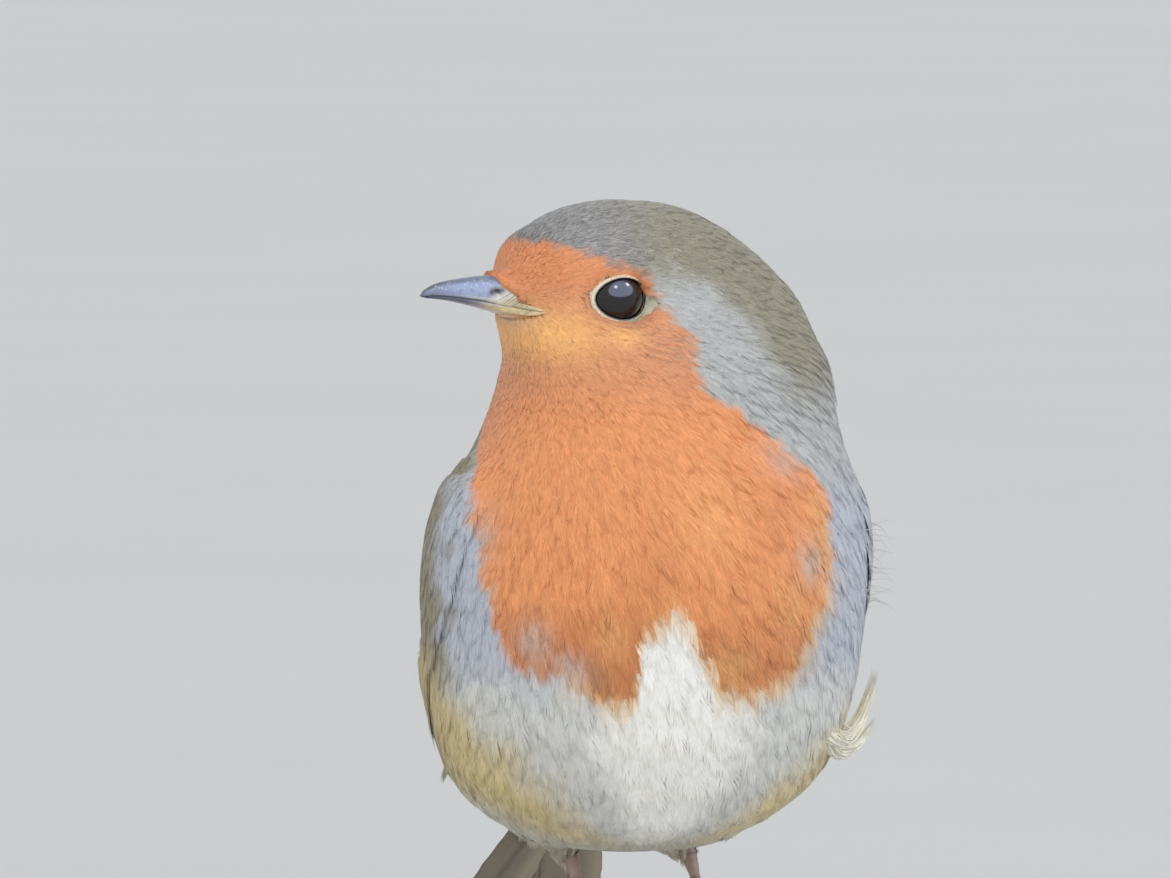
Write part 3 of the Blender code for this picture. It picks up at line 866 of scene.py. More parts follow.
class Surface:
    """A closed surface, in millimetres, that feathers are laid on."""

    def __init__(self, points: Array, faces: Array) -> None:
        """Index the surface.

        Args:
            points: its vertices.
            faces: its triangles.
        """
        self.points, self.faces = points, faces
        self.tree = BVHTree.FromPolygons(points.tolist(), faces.tolist())
        corners = points[faces]
        cross = np.cross(corners[:, 1] - corners[:, 0], corners[:, 2] - corners[:, 0])
        self.areas = 0.5 * np.linalg.norm(cross, axis=1)
        self.normals = np.zeros_like(points)
        for corner in range(3):
            np.add.at(self.normals, faces[:, corner], cross)
        self.normals = unit(self.normals)

    def nearest(self, places: Array) -> Tuple[Array, Array]:
        """The nearest places on the surface and its smooth normals there."""
        found = [self.tree.find_nearest(place) for place in places]
        onto = np.array([hit[0] for hit in found])
        faces = np.array([hit[2] for hit in found])
        return onto, unit(self.normals[self.faces[faces]].sum(axis=1))


# ---- skin ---------------------------------------------------------------------------------------
@dataclass
class Skin:
    """One continuous skin over head, neck, trunk, wings and thighs."""

    anatomy: Anatomy
    lie: "Lie"
    markings: Markings
    bill: "Bill"
    flesh: Tuple[str, ...] = ("head", "neck", "trunk", "wing_left", "wing_right", "thigh_left", "thigh_right")
    overlap: float = 0.35  # how far each solid is grown, so that the thin cuts close
    voxel: float = 0.6
    passes: int = 10
    shoulder_passes: int = 140
    lid_passes: int = 12
    collar: float = 1.13  # of the bill's breadth, where the skin lies over its root
    socket: Tuple[float, float] = (3.75, 2.95)  # half breadth and height of the hole for each eye
    muzzle: Tuple[Tuple[float, ...], ...] = (  # forward, half breadth, top and bottom
        (6.0, 9.5, 13.0, 15.0),
        (4.4, 3.9, 2.9, 2.0),
        (4.2, 3.6, 3.3, 3.1),
        (-3.6, -2.9, -1.9, -1.2),
    )

    def build(self, nodes: Dict[str, bpy.types.Object]) -> Tuple[bpy.types.Object, Surface]:
        """Make the skin.

        Args:
            nodes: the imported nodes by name.

        Returns:
            The skin, and the same skin as a surface in millimetres.
        """
        copies = [copy_of(nodes[name], f"flesh_{name}") for name in self.flesh]
        copies += [copy_of(nodes[f"eye_{side}"], f"flesh_eye_{side}") for side in SIDES]
        for copy in copies:
            with_modifier(copy, "DISPLACE", strength=self.overlap * MM, mid_level=0.0)
        skin = joined(copies + [self._muzzle()])
        skin.name = skin.data.name = "skin"
        with_modifier(skin, "REMESH", mode="VOXEL", voxel_size=self.voxel * MM, use_smooth_shade=True)
        with_modifier(skin, "SMOOTH", factor=0.5, iterations=self.passes)
        self._sink(skin)
        with_modifier(skin, "SMOOTH", factor=0.5, iterations=4)
        self._soften_shoulders(skin)
        self._cover_bill(skin)
        self._open_eyes(skin)
        places = self.anatomy.rows(skin)
        round_eye = self._round_eye(places)
        colours = blend(self.markings.colour(places), Dye.EYE_RING.row, smooth(-round_eye, -1.25, -1.1))
        # Skin deep inside each socket is painted near-black: painted shade in the crevice round the eyeball.
        colours[round_eye < 0.88] = np.append(screen(24, 20, 20), 0.0)
        carry(skin.data, "plumage", colours)
        skin.data.materials.append(PlumageFinish("skin_under_coat").make())
        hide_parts(*self.flesh)
        return skin, Surface(places, triangles(skin))

    def _round_eye(self, places: Array) -> Array:
        """How far places are from the middle of the nearest eye, in shares of its socket."""
        ahead, left, up = self.anatomy.eye_measures(places)
        shares = np.hypot(ahead / self.socket[0], up / self.socket[1])
        return np.where(np.abs(left) > CHEEK, shares, 9.0)

    def _melt(self, skin: bpy.types.Object, label: str, weights: Array, passes: int) -> None:
        """Smooth part of the skin.

        Args:
            skin: the skin.
            label: the name of its vertex group.
            weights: how strongly each vertex is smoothed, 0 to 1.
            passes: how many times.
        """
        group = skin.vertex_groups.new(name=label)
        for row in np.flatnonzero(weights > 0.01):
            group.add([int(row)], float(weights[row]), "REPLACE")
        with_modifier(skin, "SMOOTH", factor=0.5, iterations=passes, vertex_group=group.name)

    def _muzzle(self) -> bpy.types.Object:
        """The mound of flesh that carries the short feathers over the bill's root."""

        def shape(s: float, t: float) -> Array:
            """A place on its oval cross-section, closed at both ends."""
            ends = closing(t, 5.0, 9.0)
            places, *edges = self.muzzle
            forward = places[0] + (places[-1] - places[0]) * t
            half_wide, top, low = (np.interp(forward, places, edge) for edge in edges)
            left = half_wide * math.cos(math.tau * s)
            up = 0.5 * (top + low) + 0.5 * (top - low) * math.sin(math.tau * s) * ends
            return self.anatomy.head_point(forward, left * ends, up)

        return wrapped("flesh_muzzle", 24, 24, shape, self.anatomy)

    def _soften_shoulders(self, skin: bpy.types.Object) -> None:
        """Melt the wings' front edges into the breast, and the nape into the neck."""
        places = self.anatomy.rows(skin)
        x, y, z = places.T
        height = smooth(z, 38.0, 48.0) * smooth(-z, -80.0, -72.0)
        weights = smooth(-y, -10.0, -2.0) * height * smooth(np.abs(x), 9.0, 13.0)
        forward, _, up = self.anatomy.head_measures(places)
        nape = smooth(-forward, 5.0, 10.0) * smooth(z, 64.0, 70.0) * smooth(-up, 0.0, 6.0)
        self._melt(skin, "shoulders", np.maximum(weights, 0.8 * nape), self.shoulder_passes)

    def _cover_bill(self, skin: bpy.types.Object) -> None:
        """Lay the skin close over the bill's root, and hide its end inside the horn."""
        places = self.anatomy.rows(skin)
        forward, left, up = self.anatomy.head_measures(places)
        for row in np.flatnonzero((forward > 8.6) & (places[:, 2] > 82.0)):
            culmen, _, lower_edge, half_width = self.bill.section(float(forward[row]))
            middle, half_high = 0.5 * (culmen + lower_edge), 0.5 * (culmen - lower_edge)
            across = max(math.hypot(left[row] / half_width, (up[row] - middle) / half_high), 0.01)
            wanted = 0.55 if self.bill.bare(forward[row], up[row]) else self.collar
            share = float(smooth(forward[row], 8.6, 10.8))
            scale = 1.0 + share * (wanted / across - 1.0)
            places[row] = self.anatomy.head_point(
                forward[row], left[row] * scale, middle + (up[row] - middle) * scale
            )
        self.anatomy.move(skin, places)

    def _open_eyes(self, skin: bpy.types.Object) -> None:
        """Sink the skin into the eyeballs inside the lids, and slope it down to them."""
        places = self.anatomy.rows(skin)
        ahead, left, up = self.anatomy.eye_measures(places)
        round_eye = np.where(places[:, 2] > 80.0, self._round_eye(places), 9.0)
        radius = self.anatomy.eye_radius - 0.5
        for row in np.flatnonzero(round_eye < 1.0):
            deep = math.sqrt(max(radius**2 - ahead[row] ** 2 - up[row] ** 2, 0.5))
            out = min(abs(left[row]), self.anatomy.eye_side + deep)
            places[row] += self.anatomy.left * (out - abs(left[row])) * math.copysign(1.0, left[row])
        self.anatomy.move(skin, places)
        self._melt(skin, "lids", smooth(round_eye, 1.0, 1.06) * smooth(-round_eye, -1.75, -1.4), self.lid_passes)

    def _sink(self, skin: bpy.types.Object) -> None:
        """Move the skin inwards by the coat's depth, or less where the body is thin."""
        places = self.anatomy.rows(skin)
        surface = Surface(places, triangles(skin))
        depths = self.lie.depth(places) + self.overlap
        inwards = -surface.normals
        for row, (place, way) in enumerate(zip(places, inwards)):
            hit = surface.tree.ray_cast(place + 0.05 * way, way)
            if hit[0] is not None:
                depths[row] = min(depths[row], 0.36 * hit[3])
        self.anatomy.move(skin, places + depths[:, None] * inwards)


# ---- lie of the coat ----------------------------------------------------------------------------
@dataclass(frozen=True)
class Lie:
    """How long, how deep and which way the feathers lie at any place."""

    anatomy: Anatomy
    reach: float = 1.5  # how fast the pull of bill and tail weakens with distance
    eye_clear: float = 4.6
    behind_legs: float = 20.0  # y behind which the underside's feathers point to the tail

    def length(self, points: Array) -> Array:
        """A feather's length, from the smallest by the bill to the longest on the belly."""
        away = np.linalg.norm(points - self.anatomy.bill_base, axis=1)
        distance = [0, 5, 9, 13, 18, 24, 32, 45, 60, 80]
        length = np.interp(away, distance, [0.9, 1.1, 1.4, 2.0, 2.8, 3.7, 5.0, 6.4, 7.6, 8.2])
        return np.where(points[:, 2] < 26.5, 4.6, length)

    def depth(self, points: Array) -> Array:
        """How far the skin lies inside the coat's outline."""
        away = np.linalg.norm(points - self.anatomy.bill_base, axis=1)
        return np.clip(0.32 + 0.15 * self.length(points), 0.3, 1.35) * (0.3 + 0.7 * smooth(away, 2.0, 6.0))

    def loft(self, points: Array) -> Array:
        """How much further feathers stand than the skin's depth, most on forehead and nape."""
        forward, _, up = self.anatomy.head_measures(points)
        head = smooth(points[:, 2], 72.0, 80.0)
        brow = smooth(forward, 6.0, 9.0) * smooth(up, 0.5, 3.0)
        nape = smooth(-forward, 4.0, 12.0)
        throat = smooth(forward, 2.0, 6.0) * smooth(-up, 2.5, 6.0)
        return 1.05 + head * (0.1 + 0.9 * brow + 0.5 * nape + 0.25 * throat)

    def flow(self, points: Array, normals: Array) -> Array:
        """The way feathers point: from the bill, round the eyes, to the tail.

        Args:
            points: places on the skin.
            normals: the skin's normals there.

        Returns:
            Directions along the skin, of length one.
        """
        source = points - self.anatomy.bill_base
        sink = self.anatomy.tail_middle - points
        way = source / np.linalg.norm(source, axis=1, keepdims=True) ** self.reach
        way = way + sink / np.linalg.norm(sink, axis=1, keepdims=True) ** self.reach
        rear = -self.behind_legs
        below = (smooth(-points[:, 2], -27.0, -25.0) * smooth(-points[:, 1], rear - 3.0, rear))[:, None]
        way = unit(way) * (1.0 - below) + np.array([0.1, -0.35, -1.0]) * below
        for sign in SIDES.values():
            out = points - self.anatomy.eye_place(sign)
            distance = np.linalg.norm(out, axis=1, keepdims=True)
            inward = np.minimum((way * unit(out)).sum(axis=1, keepdims=True), 0.0)
            near = smooth(-distance, -1.7 * self.eye_clear, -self.eye_clear)
            way = way - 1.15 * near * inward * unit(out)
        return square_to(way, normals)


# ---- body feathers ------------------------------------------------------------------------------
@dataclass(frozen=True)
class Cut:
    """How finely feathers up to a length are cut into barbs, in shares of their length."""

    longest: float
    barbs: int  # on each side of the shaft
    joints: int  # along a barb
    half_width: float = 0.26
    first: float = 0.06
    last: float = 0.70
    lean: float = 0.44  # how far the lowest barb's tip lies ahead of its root
    breadth: float = 0.030  # of a barb at its root

    def template(self) -> Dict[str, Array]:
        """One flat feather.

        Returns:
            Arrays for its vertices (along, across, reach, barb) and its faces.
        """
        along, across, reach, barb, faces = [], [], [], [], []
        gap = (self.last - self.first) / (self.barbs - 1)
        for side in (1.0, -1.0):
            for number in range(self.barbs):
                share = number / (self.barbs - 1)
                root = np.array([self.first + gap * number, 0.0])
                out = self.half_width * (0.02 + 0.98 * (1.0 - share) ** 0.7)
                tip = np.array([root[0] + self.lean * (1.0 - 0.25 * share), side * out])
                bend = np.array([root[0] + 0.40 * self.lean, side * 0.64 * out])
                base = len(along)
                for joint in range(self.joints + 1):
                    r = joint / self.joints
                    middle, way = curve(root, bend, tip, r)
                    half = 0.5 * self.breadth * (1.0 - 0.75 * r**2)
                    for offset in (0.0,) if joint == self.joints else (-half, half):
                        along.append(middle[0] - offset * way[1])
                        across.append(middle[1] + offset * way[0])
                        reach.append(r)
                        barb.append(number + (self.barbs if side < 0 else 0))
                for joint in range(self.joints - 1):
                    a = base + 2 * joint
                    faces += [(a, a + 2, a + 1), (a + 1, a + 2, a + 3)]
                a = base + 2 * (self.joints - 1)
                faces.append((a, a + 2, a + 1))
        parts = {"along": along, "across": across, "reach": reach, "barb": barb, "faces": faces}
        return {name: np.array(part) for name, part in parts.items()}


# ---- single feathers ----------------------------------------------------------------------------
Lines = Tuple[Array, Array, Array]


@dataclass
class Barbs:
    """Makes soft feathers of many barbs along given middle lines."""

    colour: Callable[[Array], Array]  # the colour and strength of barbs at places
    patch: float = 0.003  # a feather's breadth on the map for baking
    mixing: float = 0.05  # how far over a marking's border single barbs stray, in feather lengths
    roundness: float = 44.0  # twice the body's radius, in millimetres

    def make(self, lines: Lines, lengths: Array, depths: Array, cut: Cut, rng: np.random.Generator) -> Batch:
        """Make feathers of one cut.

        Args:
            lines: places, normals and sideways directions at the ends of each stretch.
            lengths: the feathers' lengths.
            depths: how far their tips rise over the line.
            cut: how finely they are cut.
            rng: the draws for their unevenness.

        Returns:
            All of them as one batch, each with its own patch at the map's corner.
        """
        shape = cut.template()
        middles, normals, sides = lines
        count, size, barbs = len(lengths), len(shape["along"]), 2 * cut.barbs
        barb, reach = shape["barb"], shape["reach"]

        def drawn(spread: float) -> Array:
            """Draw a number for each barb, the same all along it."""
            return rng.normal(0.0, spread, (count, barbs))[:, barb]

        along = shape["along"] + drawn(0.035) * reach
        wide = 1.0 + drawn(0.20) * reach
        across = shape["across"] * wide * rng.uniform(0.86, 1.16, (count, 1))
        step = np.clip((along * PATH_STEPS).astype(int), 0, PATH_STEPS - 1)
        part = (along * PATH_STEPS - step)[..., None]
        rows = np.arange(count)[:, None]
        middle, normal, side = (
            line[rows, step] * (1 - part) + line[rows, step + 1] * part for line in (middles, normals, sides)
        )
        normal, side = unit(normal), unit(side)
        depth = depths[:, None] * rng.uniform(0.96, 1.05, (count, 1))
        rise = depth * (1.0 - 0.7 * (1.0 - np.clip(along, 0.0, 1.0)) ** 4) - 0.04
        spread = across * lengths[:, None]
        edge = across / cut.half_width
        drop = 0.05 * edge**2 * depth + spread**2 / self.roundness
        lift = 0.005 * lengths[:, None] * drawn(1.0) * reach**2
        height = np.maximum(rise - drop + lift, 0.02)
        points = middle + spread[..., None] * side + height[..., None] * normal
        tilt = drawn(0.08) + 0.03 * edge
        facing = normal + tilt[..., None] * side
        tips = np.flatnonzero(reach == 1.0)
        ends = points[:, tips[np.argsort(barb[tips])]]
        ends = ends + rng.normal(0.0, self.mixing, ends.shape) * lengths[:, None, None]
        seen = 0.5 * (points + ends[:, barb])
        dye = self.colour(seen.reshape(-1, 3)).reshape(count, size, 4)
        shade = 1.0 + drawn(1.0) * dye[..., 3]
        shade = np.clip(shade * rng.normal(1.0, 0.02, (count, 1)), 0.4, 1.5)
        colours = dye[..., :3] * shade[..., None]
        # Darker towards each feather's root: partly the feathers' own greyer bases, partly painted shade in the
        # gaps where lower feathers show between upper ones.
        colours = colours * (0.90 + 0.10 * smooth(along, 0.02, 0.36))[..., None]
        sheet = np.stack([along / 1.3, 0.5 + across], axis=-1) * self.patch
        faces = shape["faces"][None] + (np.arange(count) * size)[:, None, None]
        return Batch(*(part.reshape(-1, 3) for part in (points, faces, colours, facing)), sheet.reshape(-1, 2))


class Region(Enum):
    """The pieces that the coat is made in."""

    FACE_LEFT = "coat_face_left"
    FACE_RIGHT = "coat_face_right"
    CROWN = "coat_crown"
    NAPE = "coat_nape"
    THROAT = "coat_throat"
    BREAST_LEFT = "coat_breast_left"
    BREAST_RIGHT = "coat_breast_right"
    FLANK_LEFT = "coat_flank_left"
    FLANK_RIGHT = "coat_flank_right"
    BELLY = "coat_belly"
    MANTLE = "coat_mantle"
    RUMP = "coat_rump"
    VENT = "coat_vent"


@dataclass
class Coat:
    """The body feathers, laid over the skin like tiles from bill to tail."""

    anatomy: Anatomy
    lie: Lie
    markings: Markings
    skin: Surface
    flesh: Surface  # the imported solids, whose owners tell body from wing
    owners: Array
    barbs: Barbs
    bill: "Bill"
    cuts: Tuple[Cut, ...] = (
        Cut(1.5, 4, 2, half_width=0.25, lean=0.62, breadth=0.11),
        Cut(3.4, 8, 3, half_width=0.25, lean=0.62, breadth=0.060),
        Cut(4.4, 13, 3, half_width=0.25, lean=0.60, breadth=0.038),
        Cut(99.0, 20, 3, half_width=0.24, lean=0.60, breadth=0.028),
    )
    spacing: float = 0.172  # between roots, as a share of a feather's length
    tries: int = 190000
    seed: int = 11
    turn: float = 0.075  # how far single feathers stray from the lie, in radians
    eye_clear: Tuple[float, float] = (3.74, 3.10)  # half breadth and height free round each eye
    wrist: float = 0.0  # y behind which the folded wing shows
    overhang: float = 41.0  # y of the skin's blunt end
    wing_edge: Tuple[Tuple[float, ...], Tuple[float, ...]] = (  # y and height of the wing's lower edge
        (-12.0, 0.0, 10.0, 21.0, 23.0, 44.0),
        (66.0, 53.0, 46.0, 36.5, 26.0, 24.0),
    )
    run_on: float = 29.0  # y behind which feathers leave a sharp turn of the skin straight on
    close: float = 1.9  # how near a feather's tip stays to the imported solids

    def build(self) -> List[bpy.types.Object]:
        """Make every piece of the coat."""
        rng = np.random.default_rng(self.seed)
        roots = self._roots(rng)
        lengths = self.lie.length(roots) * rng.uniform(0.88, 1.14, len(roots))
        over_wing = self._on_wing(roots)
        finish = PlumageFinish("plumage_barbs").make()
        batches: Dict[Region, List[Batch]] = {}
        regions = self._regions(roots)
        sheet = self._unwrap(roots)
        shorter = 0.0
        for cut in self.cuts:
            chosen = (lengths > shorter) & (lengths <= cut.longest)
            shorter = cut.longest
            for region in Region:
                rows = np.flatnonzero(chosen & (regions == region))
                if len(rows):
                    lines = self._paths(roots[rows], lengths[rows], rng)
                    seen = self._clear_of_eyes(lines[0]) & self._lies_close(lines[0])
                    rows, lines = rows[seen], tuple(line[seen] for line in lines)
                    depths = self.lie.depth(lines[0][:, -1]) * self.lie.loft(lines[0][:, -1])
                    depths = depths * (1.0 + 0.3 * over_wing[rows])
                    batch = self.barbs.make(lines, lengths[rows], depths, cut, rng)
                    cells = self._spread(sheet, regions == region)[rows]
                    batch.uv = batch.uv + np.repeat(cells, len(batch.uv) // len(rows), axis=0)
                    batches.setdefault(region, []).append(batch)
        pieces = []
        for region, parts in batches.items():
            piece = Batch.joined(parts).build(region.value, self.anatomy, finish)
            pieces.append(piece)
        return pieces

    def _roots(self, rng: np.random.Generator) -> Array:
        """Scatter roots over the skin, closer together where feathers are small."""
        skin = self.skin
        middles = skin.points[skin.faces].mean(axis=1)
        weights = skin.areas / self.lie.length(middles) ** 2
        chosen = rng.choice(len(middles), self.tries, p=weights / weights.sum())
        split = np.sort(rng.random((self.tries, 2)), axis=1)
        shares = np.stack([split[:, 0], split[:, 1] - split[:, 0], 1 - split[:, 1]], axis=1)
        places = (skin.points[skin.faces[chosen]] * shares[:, :, None]).sum(axis=1)
        places = places[self._feathered(places)]
        gaps = self.spacing * self.lie.length(places)
        cells: Dict[Tuple[int, int, int], List[Tuple[float, float, float, float]]] = {}
        kept = []
        for row, (place, gap) in enumerate(zip(places.tolist(), gaps.tolist())):
            x, y, z = place
            home = (math.floor(x), math.floor(y), math.floor(z))
            near = cells.get(home, ())
            if any((x - a) ** 2 + (y - b) ** 2 + (z - c) ** 2 < (0.5 * (g + gap)) ** 2 for a, b, c, g in near):
                continue
            kept.append(row)
            span = [range(math.floor(v - gap), math.floor(v + gap) + 1) for v in place]
            for cell in ((i, j, k) for i in span[0] for j in span[1] for k in span[2]):
                cells.setdefault(cell, []).append((x, y, z, gap))
        return places[kept]

    def _feathered(self, places: Array) -> Array:
        """Which places carry body feathers: not the eyes, the bill's root or the wings."""
        _, y, z = places.T
        wrist = y < self.wrist + 0.12 * (z - 55.0)
        low_edge = z < np.interp(y, *self.wing_edge)
        clear = ~self._on_wing(places) | wrist | low_edge
        forward, _, up = self.anatomy.head_measures(places)
        return clear & ~self.bill.bare(forward, up) & self._clear_of_eyes(places[:, None])

    def _on_wing(self, places: Array) -> Array:
        """Which places on the skin lie under a wing's outer face."""
        _, normals = self.skin.nearest(places)
        found = [self.flesh.tree.ray_cast(place + 9.0 * out, -out)[2] for place, out in zip(places, normals)]
        owners = np.append(self.owners, "none")
        return np.char.startswith(owners[np.array([-1 if face is None else face for face in found])], "wing")

    def _clear_of_eyes(self, lines: Array) -> Array:
        """Which feathers, given as places along them, stay off both eyes."""
        ahead, left, up = self.anatomy.eye_measures(lines)
        inside = np.hypot((ahead + 0.15) / self.eye_clear[0], (up + 0.12) / self.eye_clear[1]) < 1.0
        return ~(inside & (np.abs(left) > CHEEK) & (lines[..., 2] > 78.0)).any(axis=1)

    def _lies_close(self, lines: Array) -> Array:
        """Which feathers, given as places along them, keep to the body and don't leave its blunt end."""
        tips = lines[:, -1]
        near, _ = self.flesh.nearest(tips)
        _, normals = self.skin.nearest(lines[:, 0])
        facing = (unit(self.anatomy.tail_middle - lines[:, 0]) * normals).sum(axis=1)
        blunt = (facing > 0.62) & (lines[:, 0, 1] > self.overhang - 4.5)
        allowed = np.where(tips[:, 1] > self.overhang + 2.0, 0.55 * self.close, self.close)
        return (np.linalg.norm(tips - near, axis=1) < allowed) & ~blunt

    def _regions(self, roots: Array) -> Array:
        """The piece that each feather belongs to."""
        forward, left, up = self.anatomy.head_measures(roots)
        _, y, z = roots.T
        bearing = self.markings.bearing(roots)
        wide = np.abs(bearing)
        regions = np.full(len(roots), Region.BELLY, dtype=object)
        trunk = z < 75
        regions[trunk & (z > 44) & (bearing >= -3)] = Region.BREAST_LEFT
        regions[trunk & (z > 44) & (bearing < -3)] = Region.BREAST_RIGHT
        regions[trunk & (wide > 52) & (bearing > 0)] = Region.FLANK_LEFT
        regions[trunk & (wide > 52) & (bearing < 0)] = Region.FLANK_RIGHT
        regions[trunk & (wide > 105)] = Region.MANTLE
        regions[trunk & (wide > 105) & (z < 52)] = Region.RUMP
        regions[(z < 33) & (y > 8)] = Region.VENT
        head = ~trunk
        near = np.linalg.norm(roots - self.anatomy.bill_base, axis=1)
        orange = self.markings.orange_edge(roots) > -0.5
        regions[head] = Region.NAPE
        regions[head & (up > -2) & (forward > -13)] = Region.CROWN
        regions[head & orange] = Region.THROAT
        regions[head & orange & (near < 17) & (left >= 0)] = Region.FACE_LEFT
        regions[head & orange & (near < 17) & (left < 0)] = Region.FACE_RIGHT
        return regions

    def _unwrap(self, roots: Array) -> Array:
        """Lay the skin's shape flat: bearing round the line from bill to tail, and how far along it."""
        bill, tail = self.anatomy.bill_base, self.anatomy.tail_root
        axis = unit(tail - bill)
        near, far = (np.linalg.norm(roots - end, axis=1) for end in (bill, tail))
        side = unit(np.cross(axis, [0.0, 0.0, 1.0]))
        away = roots - bill
        bearing = np.arctan2(away @ np.cross(axis, side), away @ side)
        return np.stack([bearing, near / (near + far)], axis=1)

    def _spread(self, sheet: Array, members: Array) -> Array:
        """Turn and stretch a piece's part of the unwrap over the whole map."""
        own = sheet[members]
        middle = math.atan2(np.sin(own[:, 0]).mean(), np.cos(own[:, 0]).mean())
        turned = sheet.copy()
        turned[:, 0] = (sheet[:, 0] - middle + math.pi) % math.tau
        low, high = turned[members].min(axis=0), turned[members].max(axis=0)
        return 0.004 + 0.988 * (turned - low) / (high - low)

    def _paths(self, roots: Array, lengths: Array, rng: np.random.Generator) -> Lines:
        """Walk each feather's middle line over the skin.

        Args:
            roots: where the feathers leave the skin.
            lengths: how long they are.
            rng: the draws for their straying.

        Returns:
            Places, normals and sideways directions at the ends of each stretch.
        """
        places, normals, sides = [], [], []
        spot, normal = self.skin.nearest(roots)
        stray = rng.normal(0.0, self.turn, len(roots))[:, None]
        for _ in range(PATH_STEPS + 1):
            way = self.lie.flow(spot, normal)
            side = np.cross(normal, way)
            way = unit(way + stray * side)
            side = np.cross(normal, way)
            places.append(spot)
            normals.append(normal)
            sides.append(side)
            onward = spot + way * (lengths / PATH_STEPS)[:, None]
            spot, turned = self.skin.nearest(onward)
            gap = np.linalg.norm(onward - spot, axis=1) > 0.2 * lengths / PATH_STEPS
            over = (gap & (onward[:, 1] > self.run_on))[:, None]
            spot, normal = np.where(over, onward, spot), np.where(over, normal, turned)
        return np.stack(places, 1), np.stack(normals, 1), np.stack(sides, 1)


@dataclass
class Strands:
    """Makes loose hair-like barbs: thin three-sided threads that taper to nothing."""

    joints: int = 6
    sides: int = 3

    def make(self, curves: Sequence[Array], radii: Sequence[float], colours: Sequence[Array]) -> Batch:
        """Make one thread along each curve.

        Args:
            curves: three control places of each thread: root, bend and tip.
            radii: each thread's radius at its root.
            colours: each thread's colour.

        Returns:
            All of them as one batch.
        """
        points, faces, shades = [], [], []
        turns = [math.tau * k / self.sides for k in range(self.sides)]
        for (root, bend, tip), radius, colour in zip(curves, radii, colours):
            base = len(points)
            for joint in range(self.joints):
                r = joint / self.joints
                middle, way = curve(root, bend, tip, r)
                side = unit(np.cross(way, [0.31, 0.17, 0.93]))
                over = np.cross(side, way)
                thick = radius * (1.0 - 0.8 * r)
                points += [middle + thick * (math.cos(a) * side + math.sin(a) * over) for a in turns]
            points.append(tip)
            for joint in range(self.joints - 1):
                for k in range(self.sides):
                    a, b = base + joint * self.sides + k, base + joint * self.sides + (k + 1) % self.sides
                    faces += [(a, a + self.sides, b), (b, a + self.sides, b + self.sides)]
            last, top = base + (self.joints - 1) * self.sides, len(points) - 1
            faces += [(last + k, top, last + (k + 1) % self.sides) for k in range(self.sides)]
            faces += [(base, base + 1, base + 2)]
            shades += [colour[:3]] * (self.joints * self.sides + 1)
        count = len(points)
        return Batch(np.array(points), np.array(faces), np.array(shades), uv=np.full((count, 2), 0.5))


